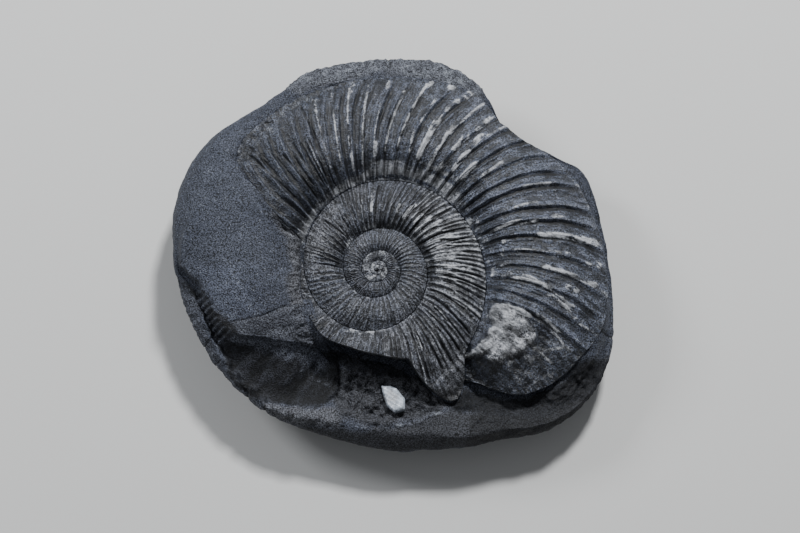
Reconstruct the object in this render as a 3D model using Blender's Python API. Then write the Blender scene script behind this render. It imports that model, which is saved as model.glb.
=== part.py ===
"""An ammonite in the upper face of a stone nodule that lies on its rounded underside.

Three solids: the stone (matrix), the coiled and ribbed shell (ammonite) and a crystal chip (calcite).
Places in plan are polar about the middle of the coil. The angle starts at the left (-X) and runs
clockwise seen from above, the way the shell grew, so a turn of the coil is 360 degrees of it.
Lengths are in millimetres until a mesh is made. At the end the origin is under the middle of the
stone, on the surface that it lies on.
"""

import bmesh
import bpy
import numpy as np
from mathutils import Vector

MM = 0.001
SQUASH = 1.03  # the coil is pressed a little out of round: lengths along Y over those along X
FIT_GAP = 0.3  # between two solids that touch

# The coil. A seam runs where one whorl lies on the one before, on a logarithmic spiral.
SEAM_START_RADIUS = 2.30
SEAM_GROWTH = 2.17  # each turn of the seam is this much wider than the one before
SHELL_TURNS = 3.62
COLUMNS_PER_TURN = 180
SWEEP_COLUMNS = 4  # the ribs lean forward by this many columns from seam to seam
STRAIGHT_START_COLUMNS = 60  # over these the first ribs take up their lean
STRAIGHT_END_TURNS = 0.08  # over this much of a turn the last ribs lose it
ROWS_ACROSS = (0.0, 0.07, 0.22, 0.45, 0.72, 1.0)  # of a whorl's width, from the inner seam
ROWS_SWEEP = (0.0, 0.02, 0.08, 0.26, 0.58, 1.0)
ROWS_RIBBING = (0.3, 0.8, 1.0, 1.0, 1.0, 0.3)
FREE_ROWS_RIBBING = (0.3, 0.8, 1.0, 1.0, 1.0, 0.9)  # where no later whorl lies on the last row
SHOULDER_AT = 0.36  # where a whorl stands highest, across its width
WHORL_RISE = 0.225  # height of the shoulder above the seams, over the whorl's width
OUTER_FALL = 2.2  # power of the fall from the shoulder to the outer seam: higher is rounder
FIRST_TURN_RISE = 0.5
CENTRE_HEIGHT = 12.5
SHELL_FLOOR_HEIGHT = 8.0

RIBS_PER_TURN = (30, 45, 90, 60)
RIB_HEIGHTS = (0.12, 0.17, 0.24, 0.60)

# (turn, height) of the seam, and of the outer rim of the last turn.
SEAM_HEIGHTS = (
    (0, 12.1), (1, 12.0), (2, 11.9), (2.6, 11.8), (3.0, 12.4), (3.1, 13.3), (3.18, 12.9),
    (3.28, 11.8), (3.45, 9.8), (3.62, 9.4),
)  # fmt: skip

# (turn, radius) of the edge where no later whorl covers the shell: first the broken edge, then the
# line where the shell goes under the cap, the rim of the last turn with its notch, the crushed end.
FREE_EDGE = (
    (2.610, 17.4), (2.621, 17.8), (2.642, 20.3), (2.651, 21.3), (2.660, 22.0), (2.679, 20.8),
    (2.686, 19.2), (2.692, 17.5), (2.695, 14.5), (2.744, 12.9), (2.800, 12.4), (2.858, 12.9),
    (2.918, 12.0), (3.002, 11.2), (3.040, 11.6), (3.058, 12.0), (3.070, 15.6), (3.080, 18.6),
    (3.091, 21.8), (3.102, 26.2), (3.115, 27.3), (3.181, 28.0), (3.250, 28.6), (3.330, 30.3),
    (3.345, 29.5), (3.360, 28.4), (3.385, 28.9), (3.410, 31.2), (3.430, 32.7), (3.470, 33.5),
    (3.500, 34.1), (3.530, 34.6), (3.548, 34.4), (3.572, 32.4), (3.591, 31.1), (3.610, 28.2),
    (3.620, 25.6),
)  # fmt: skip

# The crushed last stretch sinks to a slope that falls outwards, under a lump of pale crust.
CRUSH_TURNS = (3.50, 3.60)
CRUSH_ACROSS = (0.05, 0.35)
CRUSH_MIDDLE_HEIGHT = 22.0
CRUSH_SLOPE = 0.4
CRUST_ANGLE = 207.0
CRUST_DISTANCE = 21.6
CRUST_RADIUS = 4.8
CRUST_RISE = 1.5
CRUST_ROUGHNESS = 0.5
CRUST_WAVES = ((3.1, 1.7), (-1.3, 2.3))  # radians per millimetre along X and Y of its two ripples
CRUST_RIB_FADE = 0.8

# The stone, in columns round the coil. Each ring is (angle, share, height): share is how far it is
# from the shell (0) to the rim (1).
STONE_COLUMNS = 84
SOCKET_FLOOR_HEIGHT = SHELL_FLOOR_HEIGHT - FIT_GAP
SOCKET_EDGE_INSET = 0.25  # the rings start this far inside the socket's wall, which is cut through them
RIM_RADIUS = (
    (1, 30.6), (16, 31.9), (29, 32.8), (40, 32.2), (54, 30.8), (63, 31.1), (69, 32.1), (90, 32.5),
    (106, 33.5), (117, 32.9), (123, 31.6), (127, 30.2), (130, 29.5), (139, 30.4), (143, 31.8),
    (148, 33.0), (151, 34.8), (155, 35.4), (167, 34.9), (177, 35.0), (193, 36.3), (200, 37.2),
    (207, 37.0), (214, 36.1), (220, 34.6), (225, 33.0), (233, 30.3), (244, 27.9), (256, 26.3),
    (269, 25.3), (281, 24.9), (293, 25.0), (302, 25.7), (310, 26.5), (327, 27.4), (345, 28.8),
    (353, 29.7),
)  # fmt: skip
RIM_HEIGHT = (
    (0, 10.4), (60, 10.2), (110, 9.4), (128, 8.2), (150, 7.0), (205, 6.8), (225, 7.0), (250, 7.0),
    (285, 7.2), (310, 8.2), (335, 9.2),
)  # fmt: skip
SOCKET_TOP = (
    (0, 15.0), (12, 15.4), (24, 15.6), (32, 15.4), (38, 14.4), (45, 13.6), (60, 13.2), (90, 12.2),
    (115, 11.2), (124, 9.4), (129, 7.8), (184, 7.8), (191, 9.8), (202, 9.8), (206, 9.0), (211, 8.4),
    (226, 8.4), (250, 9.0), (285, 8.8), (302.5, 8.6), (306.5, 12.3), (318, 13.2), (333, 13.6),
    (337, 13.8),
)  # fmt: skip
DOME_RING = (
    (0, 0.50, 16.3), (20, 0.50, 16.5), (34, 0.48, 15.3), (45, 0.42, 13.9), (60, 0.35, 13.0),
    (90, 0.35, 12.0), (115, 0.30, 10.9), (128, 0.30, 7.9), (184, 0.30, 7.8), (192, 0.30, 9.2),
    (202, 0.30, 9.2), (207, 0.30, 8.4), (215, 0.40, 7.9), (230, 0.35, 8.4), (255, 0.30, 9.2),
    (284, 0.14, 8.8), (303.5, 0.05, 8.6), (307.5, 0.05, 12.1), (322, 0.15, 13.3), (331, 0.30, 14.2),
    (337, 0.40, 15.0), (350, 0.48, 16.0),
)  # fmt: skip
CLIFF_TOP_RING = (
    (1.3, 0.93, 13.0), (5, 0.92, 13.8), (20, 0.80, 15.0), (36, 0.78, 14.0), (50, 0.65, 12.8),
    (90, 0.60, 11.5), (115, 0.50, 10.5), (128, 0.45, 7.9), (184, 0.45, 7.7), (192, 0.45, 8.4),
    (202, 0.45, 8.4), (208, 0.50, 8.0), (215, 0.60, 7.8), (230, 0.55, 8.8), (255, 0.50, 9.2),
    (284, 0.28, 8.6), (306, 0.10, 8.6), (310, 0.10, 12.0), (320, 0.30, 12.8), (329, 0.51, 13.4),
    (333.4, 0.68, 13.8), (335, 0.72, 14.0), (336.5, 0.735, 14.1), (341, 0.765, 14.1),
    (344.7, 0.785, 14.0), (348.7, 0.80, 13.9), (352, 0.82, 13.7), (355.7, 0.82, 13.5),
    (358.3, 0.88, 13.2),
)  # fmt: skip
CLIFF_RUN = 0.025  # share from the cliff's top to its foot
FLOOR_HEIGHT = (
    (1.3, 11.0), (5, 12.9), (20, 14.6), (36, 13.7), (50, 12.6), (90, 11.3), (115, 10.2), (128, 7.8),
    (184, 7.6), (192, 8.2), (202, 8.2), (208, 7.8), (215, 7.8), (230, 8.9), (255, 9.2), (284, 8.4),
    (304, 8.8), (310, 10.8), (320, 11.5), (330, 12.1), (336, 12.1), (345, 11.9), (354, 11.6),
    (358, 11.2),
)  # fmt: skip
WALL_FOOT_RING = (
    (1.3, 0.965, 10.8), (5, 0.955, 11.8), (20, 0.91, 13.2), (40, 0.90, 12.4), (60, 0.84, 11.8),
    (90, 0.80, 11.0), (115, 0.75, 9.9), (128, 0.70, 7.7), (205, 0.70, 7.3), (215, 0.80, 8.0),
    (230, 0.75, 8.9), (255, 0.72, 9.2), (281, 0.60, 8.9), (285, 0.50, 8.3), (292, 0.57, 8.2),
    (302, 0.70, 8.2), (312, 0.84, 8.4), (320, 0.88, 8.6), (328, 0.87, 9.1), (334, 0.855, 9.9),
    (340, 0.855, 10.6), (346, 0.858, 10.9), (352, 0.862, 11.0), (355.7, 0.865, 11.0), (358, 0.92, 10.8),
)  # fmt: skip
WALL_TOP_RING = (
    (1.3, 0.985, 10.9), (5, 0.985, 11.2), (20, 0.97, 11.8), (40, 0.96, 11.5), (60, 0.94, 11.1),
    (90, 0.92, 10.6), (115, 0.90, 9.6), (128, 0.88, 8.0), (205, 0.88, 7.2), (215, 0.90, 8.2),
    (230, 0.88, 8.8), (255, 0.86, 9.0), (282, 0.82, 9.3), (298, 0.90, 9.6), (310, 0.95, 9.6),
    (320, 0.935, 10.2), (334, 0.90, 10.9), (344, 0.885, 11.3), (352, 0.885, 11.4), (355.7, 0.89, 11.3),
    (358, 0.945, 11.1),
)  # fmt: skip
UNDERSIDE_STEPS = (0.2, 0.47, 0.74, 1.0)  # of the quarter round from the rim to the flat patch
FLAT_PATCH_SHARE = 0.5  # the patch it rests on, over the rim's radius
LUMP_DEPTH = 0.035  # how much the underside swells and sinks, over the rim's radius
LUMP_COUNT = 3
LUMP_ANGLE = 40.0

# (x, y) corners of the crystal chip, from the middle of the coil, and its heights.
CHIP_CORNERS = ((0.6, -17.0), (2.9, -17.4), (4.1, -19.0), (4.1, -20.6), (2.6, -21.1), (1.5, -20.2))
CHIP_FOOT_HEIGHT = 7.0
CHIP_TOP_HEIGHT = 10.3
CHIP_TOP_TILT = 0.12
CHIP_TOP_INSET = 0.45
CHIP_BEVEL_HEIGHT = 0.5
POCKET_GROWTH = 0.62  # at the chip's corners, which leaves a gap of about 0.3 to 0.6 at its sides
CUTTER_TOP_HEIGHT = 25.0

MATERIALS = {
    "matrix": ((0.062, 0.068, 0.086), 0.75),
    "ammonite": ((0.100, 0.108, 0.126), 0.60),
    "calcite": ((0.36, 0.40, 0.46), 0.40),
}


def clear_scene():
    for found in list(bpy.data.objects):
        bpy.data.objects.remove(found)


def read_off(table, where, column=1, around=None):
    """A table's value at each place, on straight lines between its points."""
    table = np.array(table)
    return np.interp(where, table[:, 0], table[:, column], period=around)


def smooth_step(value):
    clipped = np.clip(value, 0.0, 1.0)
    return clipped * clipped * (3.0 - 2.0 * clipped)


def between(value, start, end):
    """A smooth step from 0 at start to 1 at end."""
    return smooth_step((value - start) / (end - start))


def plan_point(angle, radius):
    """(x, y) of a polar place; the angle is in degrees."""
    turned = np.radians(angle)
    return -radius * np.cos(turned), SQUASH * radius * np.sin(turned)


def seam_radius(turn):
    return SEAM_START_RADIUS * SEAM_GROWTH**turn


def outer_radius(turn):
    """The shell's outer edge: the seam, or the free edge where no later whorl lies on it."""
    return np.where(turn < FREE_EDGE[0][0], seam_radius(turn), read_off(FREE_EDGE, turn))


def whorl_value(values, turn):
    return np.array(values)[np.clip(turn.astype(int), 0, len(values) - 1)]


def bulge(across):
    """Height of a whorl's side over its shoulder's: a steep quarter round, then a long fall."""
    inner = np.sqrt(np.clip(1.0 - ((SHOULDER_AT - across) / SHOULDER_AT) ** 2, 0.0, 1.0))
    outer = 1.0 - (np.clip(across - SHOULDER_AT, 0.0, 1.0) / (1.0 - SHOULDER_AT)) ** OUTER_FALL
    return np.where(across < SHOULDER_AT, inner, outer)


def shell_height(turn, radius, rib_turn, ribbing):
    """Height of the shell's face; rib_turn is where along the coil the place's rib starts."""
    inner = np.where(turn < 1.0, 0.0, seam_radius(turn - 1.0))
    width = seam_radius(turn) - inner
    across = np.clip((radius - inner) / width, 0.0, 1.0)
    inner_height = np.where(turn < 1.0, CENTRE_HEIGHT, read_off(SEAM_HEIGHTS, turn - 1.0))
    base = inner_height + (read_off(SEAM_HEIGHTS, turn) - inner_height) * across
    rise = np.where(turn < 1.0, FIRST_TURN_RISE, WHORL_RISE * width)
    face = base + rise * bulge(across)
    crushed = between(turn, *CRUSH_TURNS) * between(across, *CRUSH_ACROSS)
    sunk = crushed * np.maximum(face - CRUSH_MIDDLE_HEIGHT + CRUSH_SLOPE * radius, 0.0)
    ribs = whorl_value(RIB_HEIGHTS, rib_turn) * ribbing * 0.5
    ribs = ribs * (1.0 + np.cos(2.0 * np.pi * rib_turn * whorl_value(RIBS_PER_TURN, rib_turn)))
    return face - sunk + ribs


def crust_strength(x, y):
    """1 in the middle of the pale crust lump, 0 outside it."""
    middle_x, middle_y = plan_point(CRUST_ANGLE, CRUST_DISTANCE)
    away = np.hypot(x - middle_x, y - middle_y) / CRUST_RADIUS
    return np.sqrt(np.clip(1.0 - away**2, 0.0, 1.0))


def shell_columns():
    """Places (x, y, z) on the shell's face, a row of them for each step along the coil."""
    column = np.arange(round(SHELL_TURNS * COLUMNS_PER_TURN) + 1)[:, None]
    rib_turn = column / COLUMNS_PER_TURN
    upright = smooth_step((rib_turn - SHELL_TURNS + STRAIGHT_END_TURNS) / STRAIGHT_END_TURNS)
    early = np.clip(1.0 - column / STRAIGHT_START_COLUMNS, 0.0, 1.0)
    lean = np.array(ROWS_SWEEP) * (1.0 - upright)
    lean = lean + (1.0 - lean) * early
    turn = rib_turn + lean * SWEEP_COLUMNS / COLUMNS_PER_TURN
    inner = seam_radius(turn - 1.0)
    radius = inner + (outer_radius(turn) - inner) * np.array(ROWS_ACROSS)
    ribbing = np.where(turn < FREE_EDGE[0][0], np.array(ROWS_RIBBING), np.array(FREE_ROWS_RIBBING))
    x, y = plan_point(360.0 * turn, radius)
    crust = crust_strength(x, y)
    z = shell_height(turn, radius, rib_turn, ribbing * (1.0 - CRUST_RIB_FADE * crust))
    (first_x, first_y), (second_x, second_y) = CRUST_WAVES
    rough = np.sin(first_x * x + first_y * y) * np.sin(second_x * x + second_y * y)
    return np.stack([x, y, z + crust * (CRUST_RISE + CRUST_ROUGHNESS * rough)], axis=2)


def free_edge(grid):
    """The last turn of the face's outer edge, which ends beside where it starts."""
    return grid[-(COLUMNS_PER_TURN + SWEEP_COLUMNS + 1) :, -1]


def build_ammonite():
    """The face follows the coil, each column's inner end on the seam of the whorl before."""
    grid = shell_columns()
    back = COLUMNS_PER_TURN + SWEEP_COLUMNS
    shape = bmesh.new()
    centre = shape.verts.new((0.0, 0.0, CENTRE_HEIGHT))
    face = []
    for column, places in enumerate(grid):
        start = shape.verts.new(places[0]) if column < back else face[column - back][-1]
        face.append([start] + [shape.verts.new(place) for place in places[1:]])
    for before, after in zip(face, face[1:]):
        for row in range(len(ROWS_ACROSS) - 1):
            shape.faces.new((before[row], after[row], after[row + 1], before[row + 1]))
    for before, after in zip(face[:back], face[1 : back + 1]):
        shape.faces.new((centre, after[0], before[0]))
    shape.faces.new([centre] + face[0])
    edge = [column[-1] for column in face[-(back + 1) :]]
    foot = [shape.verts.new((v.co.x, v.co.y, SHELL_FLOOR_HEIGHT)) for v in edge]
    for here in range(back):
        shape.faces.new((edge[here], edge[here + 1], foot[here + 1], foot[here]))
    shape.faces.new(face[-1] + [foot[-1], foot[0]])
    shape.faces.new(foot)
    return shape


def socket_radii():
    """(angles, radii) of the socket's wall, a gap outside the shell's edge and its neighbours."""
    step = 360.0 / COLUMNS_PER_TURN
    edge = free_edge(shell_columns())
    distance = np.hypot(edge[:, 0], edge[:, 1] / SQUASH)
    angle = np.degrees(np.arctan2(edge[:, 1] / SQUASH, -edge[:, 0]))
    place = np.round(angle / step).astype(int) % COLUMNS_PER_TURN
    radii = np.zeros(COLUMNS_PER_TURN)
    np.maximum.at(radii, place, distance)
    empty = radii == 0.0
    angles = np.arange(COLUMNS_PER_TURN) * step
    radii[empty] = np.interp(angles[empty], angles[~empty], radii[~empty], period=360.0)
    return angles, np.maximum(radii, np.maximum(np.roll(radii, 1), np.roll(radii, -1))) + FIT_GAP


def stone_rings():
    """Rings of (x, y, z) from the socket's edge over the face and the rim to the flat patch."""
    angle = np.arange(STONE_COLUMNS) * 360.0 / STONE_COLUMNS
    socket = np.interp(angle, *socket_radii(), period=360.0) - SOCKET_EDGE_INSET
    rim = read_off(RIM_RADIUS, angle, around=360.0)
    rim_height = read_off(RIM_HEIGHT, angle, around=360.0)

    def ring(table, heights=None, shift=0.0):
        share = read_off(table, angle, around=360.0) + shift
        height = read_off(heights or table, angle, 1 if heights else 2, around=360.0)
        return socket + share * (rim - socket), height

    cliff_foot = ring(CLIFF_TOP_RING, FLOOR_HEIGHT, CLIFF_RUN)
    rings = [(socket, read_off(SOCKET_TOP, angle, around=360.0)), ring(DOME_RING), ring(CLIFF_TOP_RING)]
    rings += [cliff_foot, ring(WALL_FOOT_RING), ring(WALL_TOP_RING), (rim, rim_height)]
    lump = LUMP_DEPTH * np.sin(np.radians(LUMP_COUNT * angle + LUMP_ANGLE))
    for step in UNDERSIDE_STEPS:
        round_off = 1.0 - (1.0 - np.cos(0.5 * np.pi * step)) * (1.0 - FLAT_PATCH_SHARE)
        drop = np.sin(0.5 * np.pi * step)
        swell = 1.0 + lump * np.sin(np.pi * step)
        rings.append((rim * round_off * swell, rim_height * (1.0 - drop)))
    return [np.stack([*plan_point(angle, radius), height], axis=1) for radius, height in rings]


def build_matrix():
    """Rings joined by quads, closed above by a fan, which the socket removes, and below by one flat face."""
    shape = bmesh.new()
    centre = shape.verts.new((0.0, 0.0, CENTRE_HEIGHT))
    rings = [[shape.verts.new(place) for place in ring] for ring in stone_rings()]
    for here in range(STONE_COLUMNS):
        there = (here + 1) % STONE_COLUMNS
        shape.faces.new((centre, rings[0][here], rings[0][there]))
        for inner, outer in zip(rings, rings[1:]):
            shape.faces.new((inner[here], inner[there], outer[there], outer[here]))
    shape.faces.new(rings[-1])
    return shape


def build_prism(corners, low, high):
    """An upright prism on a plan outline."""
    shape = bmesh.new()
    foot = [shape.verts.new((x, y, low)) for x, y in corners]
    top = [shape.verts.new((x, y, high)) for x, y in corners]
    for here in range(len(corners)):
        there = (here + 1) % len(corners)
        shape.faces.new((foot[here], foot[there], top[there], top[here]))
    shape.faces.new(foot)
    shape.faces.new(top)
    return shape


def build_socket_cutter():
    angles, radii = socket_radii()
    corners = list(zip(*plan_point(angles, radii)))
    return build_prism(corners, SOCKET_FLOOR_HEIGHT, CUTTER_TOP_HEIGHT)


def grown(corners, distance):
    """Corners moved straight away from their middle."""
    corners = np.array(corners)
    out = corners - corners.mean(axis=0)
    return corners + out / np.linalg.norm(out, axis=1)[:, None] * distance


def build_pocket_cutter():
    corners = grown(CHIP_CORNERS, POCKET_GROWTH)
    return build_prism(corners, CHIP_FOOT_HEIGHT - FIT_GAP, CUTTER_TOP_HEIGHT)


def build_calcite():
    """A chip with upright cleavage sides, sloping shoulders and a tilted flat top."""
    shape = build_prism(CHIP_CORNERS, CHIP_FOOT_HEIGHT, CHIP_TOP_HEIGHT - CHIP_BEVEL_HEIGHT)
    bmesh.ops.recalc_face_normals(shape, faces=shape.faces)
    top = max(shape.faces, key=lambda face: face.calc_center_median().z)
    bmesh.ops.inset_region(shape, faces=[top], thickness=CHIP_TOP_INSET, depth=0.0)
    middle = top.calc_center_median()
    for corner in top.verts:
        corner.co.z += CHIP_BEVEL_HEIGHT + CHIP_TOP_TILT * (corner.co.x - middle.x)
    return shape


def add_object(name, shape, shift):
    """Makes an object of a shape in millimetres, moved so that the origin is under the stone's middle."""
    bmesh.ops.recalc_face_normals(shape, faces=shape.faces)
    bmesh.ops.triangulate(shape, faces=[face for face in shape.faces if len(face.verts) > 4])
    for corner in shape.verts:
        corner.co = (corner.co + shift) * MM
    mesh = bpy.data.meshes.new(name)
    shape.to_mesh(mesh)
    shape.free()
    made = bpy.data.objects.new(name, mesh)
    bpy.context.scene.collection.objects.link(made)
    return made


def give_material(part):
    colour, roughness = MATERIALS[part.name]
    material = bpy.data.materials.new(part.name)
    material.use_nodes = True
    shader = material.node_tree.nodes["Principled BSDF"]
    shader.inputs["Base Color"].default_value = (*colour, 1.0)
    shader.inputs["Roughness"].default_value = roughness
    part.data.materials.append(material)


def cut(part, cutter):
    """Takes a hidden cutter's space out of a part."""
    cutter.hide_render = True
    cutter.display_type = "WIRE"
    boolean = part.modifiers.new(cutter.name, "BOOLEAN")
    boolean.operation = "DIFFERENCE"
    boolean.solver = "EXACT"
    boolean.object = cutter


def shift_to_middle():
    """The move that puts the middle of the stone's outline over the origin."""
    places = np.concatenate(stone_rings())
    middle = 0.5 * (places.min(axis=0) + places.max(axis=0))
    return Vector((-middle[0], -middle[1], 0.0))


def main():
    clear_scene()
    shift = shift_to_middle()
    matrix = add_object("matrix", build_matrix(), shift)
    ammonite = add_object("ammonite", build_ammonite(), shift)
    calcite = add_object("calcite", build_calcite(), shift)
    cut(matrix, add_object("pocket_cutter", build_pocket_cutter(), shift))
    cut(matrix, add_object("socket_cutter", build_socket_cutter(), shift))
    for part in (matrix, ammonite, calcite):
        give_material(part)


main()
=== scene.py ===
"""The look of an ammonite in its broken stone nodule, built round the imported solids.

Lengths are in millimetres and angles in degrees until a mesh is made. Places in plan are polar about the
middle of the coil: the angle starts at the left (-X) and runs clockwise seen from above, the way the shell
grew, and a turn of the coil is 360 degrees of it. "Across" is the share of a whorl's width, 0 at its inner
seam and 1 at its outer one.
"""

from __future__ import annotations

import logging
from collections.abc import Sequence
from dataclasses import dataclass
from enum import Enum

import bpy
import numpy as np
from numpy.typing import NDArray
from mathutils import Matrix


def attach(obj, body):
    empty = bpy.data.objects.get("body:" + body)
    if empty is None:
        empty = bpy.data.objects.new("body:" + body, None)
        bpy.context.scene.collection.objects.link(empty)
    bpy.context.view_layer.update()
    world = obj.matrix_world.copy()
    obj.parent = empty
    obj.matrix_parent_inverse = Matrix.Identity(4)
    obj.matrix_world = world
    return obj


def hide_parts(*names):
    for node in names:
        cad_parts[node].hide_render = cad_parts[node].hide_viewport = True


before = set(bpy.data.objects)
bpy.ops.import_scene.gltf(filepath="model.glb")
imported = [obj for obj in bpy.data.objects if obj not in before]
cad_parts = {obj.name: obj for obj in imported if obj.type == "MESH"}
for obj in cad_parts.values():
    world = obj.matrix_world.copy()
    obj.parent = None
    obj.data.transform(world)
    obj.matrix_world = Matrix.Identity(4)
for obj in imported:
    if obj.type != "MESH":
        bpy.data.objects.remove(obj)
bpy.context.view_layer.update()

Array = NDArray[np.float64]
Table = tuple[tuple[float, float], ...]
RingTable = tuple[tuple[float, float, float], ...]
Colour = tuple[float, float, float]
Pair = tuple[float, float]
Span = tuple[float, float, float, float]
Socket = bpy.types.NodeSocket

MM = 0.001
TURN = 360.0
SQUASH = 1.03  # lengths of the coil along Y over those along X
COIL_MIDDLE = (-2.325, -3.646)  # in the part's frame, in millimetres
LAST_WHORL = 3.0  # the turn at which the last whorl starts
FINE_STEP = 0.25  # degrees between the points of a table laid out finely
TINY = 1e-9
PLAIN_TABLE: Table = ((0.0, 0.0), (TURN, 0.0))
LOG = logging.getLogger("ammonite")


class Mask(Enum):
    """Surface marks kept as vertex attributes, each from 0 to 1; fibre is 0.5 where it is plain. Dark holds painted
    shade as well as the stone's own dark places, pale holds painted light as well as dust and wear, and fibre holds
    painted highlight and shade across the ribs as well as fine lines.
    """

    PALE = "pale"
    DARK = "dark"
    WARM = "warm"
    SLICK = "slick"
    FIBRE_AND_PAINTED_SHADING = "fibre"


class Slot(Enum):
    """Material slots of the part's record."""

    STONE = "matrix_stone"
    SHELL = "fossil_shell"
    CRYSTAL = "calcite_crystal"


def smooth_step(value: Array) -> Array:
    """Rises from 0 to 1 between 0 and 1 with level ends, as 3t^2 - 2t^3."""
    held = np.clip(value, 0.0, 1.0)
    return held * held * (3.0 - 2.0 * held)


def between(value: Array, start: float, end: float) -> Array:
    """A smooth step that runs from `start` to `end`."""
    return smooth_step((value - start) / (end - start))


def band(value: Array, start: float, full: float, fade: float, end: float) -> Array:
    """Rises smoothly from `start` to `full`, and falls again from `fade` to `end`."""
    return between(value, start, full) * (1.0 - between(value, fade, end))


def bell(value: Array, width: float) -> Array:
    """A bell curve of height 1 that falls to a third at `width`."""
    return np.exp(-((value / width) ** 2))


def plan_point(angle: Array, radius: Array) -> tuple[Array, Array]:
    """Turns a polar place into x and y.

    Args:
        angle: Degrees clockwise from the left.
        radius: Distance from the coil's middle, before the coil's squash along Y.

    Returns:
        x and y from the coil's middle.
    """
    turned = np.radians(angle)
    return -radius * np.cos(turned), SQUASH * radius * np.sin(turned)


def read_table(points: Table, where: Array) -> Array:
    """Reads a table of (place, value) on straight lines between its points."""
    table = np.array(points)
    return np.interp(where, table[:, 0], table[:, 1])


def read_round(points: Table, angle: Array, soft: float) -> Array:
    """Reads a table of (angle, value) that closes on itself, its corners softened.

    The table is laid out every quarter degree, and a bell-shaped average, taken as a product of its
    Fourier series, rounds the corners.

    Args:
        points: The table, in order of angle.
        angle: Where to read it.
        soft: The average's reach in degrees.

    Returns:
        The value at each angle.
    """
    table = np.array(points)
    fine = np.arange(0.0, TURN, FINE_STEP)
    laid = np.interp(fine, table[:, 0], table[:, 1], period=TURN)
    waves = np.fft.rfftfreq(fine.size, FINE_STEP) * 2.0 * np.pi * soft
    laid = np.fft.irfft(np.fft.rfft(laid) * np.exp(-0.5 * waves**2), fine.size)
    return np.interp(angle, fine, laid, period=TURN)


def away_from_line(x: Array, y: Array, corners: Sequence[Pair]) -> Array:
    """Distance in plan to a line of straight stretches.

    Args:
        x: Places along X.
        y: Places along Y.
        corners: The line's corners.

    Returns:
        The distance to the nearest stretch.
    """
    nearest = np.full(np.shape(x), np.inf)
    for (ax, ay), (bx, by) in zip(corners, corners[1:]):
        dx, dy = bx - ax, by - ay
        along = np.clip(((x - ax) * dx + (y - ay) * dy) / (dx * dx + dy * dy), 0.0, 1.0)
        nearest = np.minimum(nearest, np.hypot(x - ax - along * dx, y - ay - along * dy))
    return nearest


def inside_outline(x: Array, y: Array, corners: Sequence[Pair]) -> Array:
    """Signed distance in plan from an outline, more than 0 inside it.

    Args:
        x: Places along X.
        y: Places along Y.
        corners: The outline's corners, in order.

    Returns:
        The distance to the outline, with a minus outside.
    """
    ring = [*corners, corners[0]]
    odd = np.zeros(np.shape(x), bool)
    for (ax, ay), (bx, by) in zip(ring, ring[1:]):
        spans = (ay > y) != (by > y)
        cross_x = ax + (y - ay) * (bx - ax) / (by - ay if by != ay else 1.0)
        odd ^= spans & (x < cross_x)
    return np.where(odd, 1.0, -1.0) * away_from_line(x, y, ring)


def corners_in_plan(corners: Table) -> list[Pair]:
    """Turns the (angle, radius) corners of a line into x and y."""
    x, y = plan_point(*np.array(corners, dtype=float).T)
    return list(zip(x.tolist(), y.tolist()))


class Grain:
    """Smooth random values in space, the same in every run."""

    TABLE_SIZE = 4096
    PRIMES = (73856093, 19349663, 83492791)
    MIX_BITS = 7
    LAYER_SHIFT = 17.3

    def __init__(self, seed: int) -> None:
        """Draws the random table."""
        self.values = np.random.default_rng(seed).uniform(-1.0, 1.0, self.TABLE_SIZE)

    def layer(self, places: Array, size: float) -> Array:
        """Random values at the corners of cubes, blended along each edge by 3t^2 - 2t^3.

        Args:
            places: Points, with x, y and z in the last axis.
            size: Side of the cubes.

        Returns:
            A value from -1 to 1 for each point.
        """
        scaled = places / size
        cell = np.floor(scaled).astype(np.int64)
        share = smooth_step(scaled - cell)
        total = np.zeros(places.shape[:-1])
        for corner in np.ndindex(2, 2, 2):
            key = (cell + corner) * self.PRIMES
            mixed = key[..., 0] ^ key[..., 1] ^ key[..., 2]
            weight = np.prod(np.where(corner, share, 1.0 - share), axis=-1)
            total += weight * self.values[(mixed ^ (mixed >> self.MIX_BITS)) & (self.TABLE_SIZE - 1)]
        return total

    def rough(self, places: Array, size: float, layers: int = 4, fade: float = 0.5) -> Array:
        """Sum of layers, each half the size of the one before and `fade` times as strong.

        Args:
            places: Points, with x, y and z in the last axis.
            size: Side of the coarsest cubes.
            layers: How many layers.
            fade: Strength of a layer over the one before.

        Returns:
            About -1 to 1 for each point.
        """
        total = np.zeros(places.shape[:-1])
        for step in range(layers):
            total += fade**step * self.layer(places + self.LAYER_SHIFT * step, size / 2.0**step)
        return total


def grid_normals(places: Array) -> Array:
    """Normals of a grid whose rows close on themselves, from the cross product of its two differences.

    Args:
        places: Rows and columns of points.

    Returns:
        Unit normals that point up where rows run outwards and columns run clockwise.
    """
    rows = np.gradient(places, axis=0)
    columns = np.roll(places, -1, axis=1) - np.roll(places, 1, axis=1)
    normals = np.cross(columns, rows)
    return normals / np.maximum(np.linalg.norm(normals, axis=2, keepdims=True), TINY)


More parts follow.
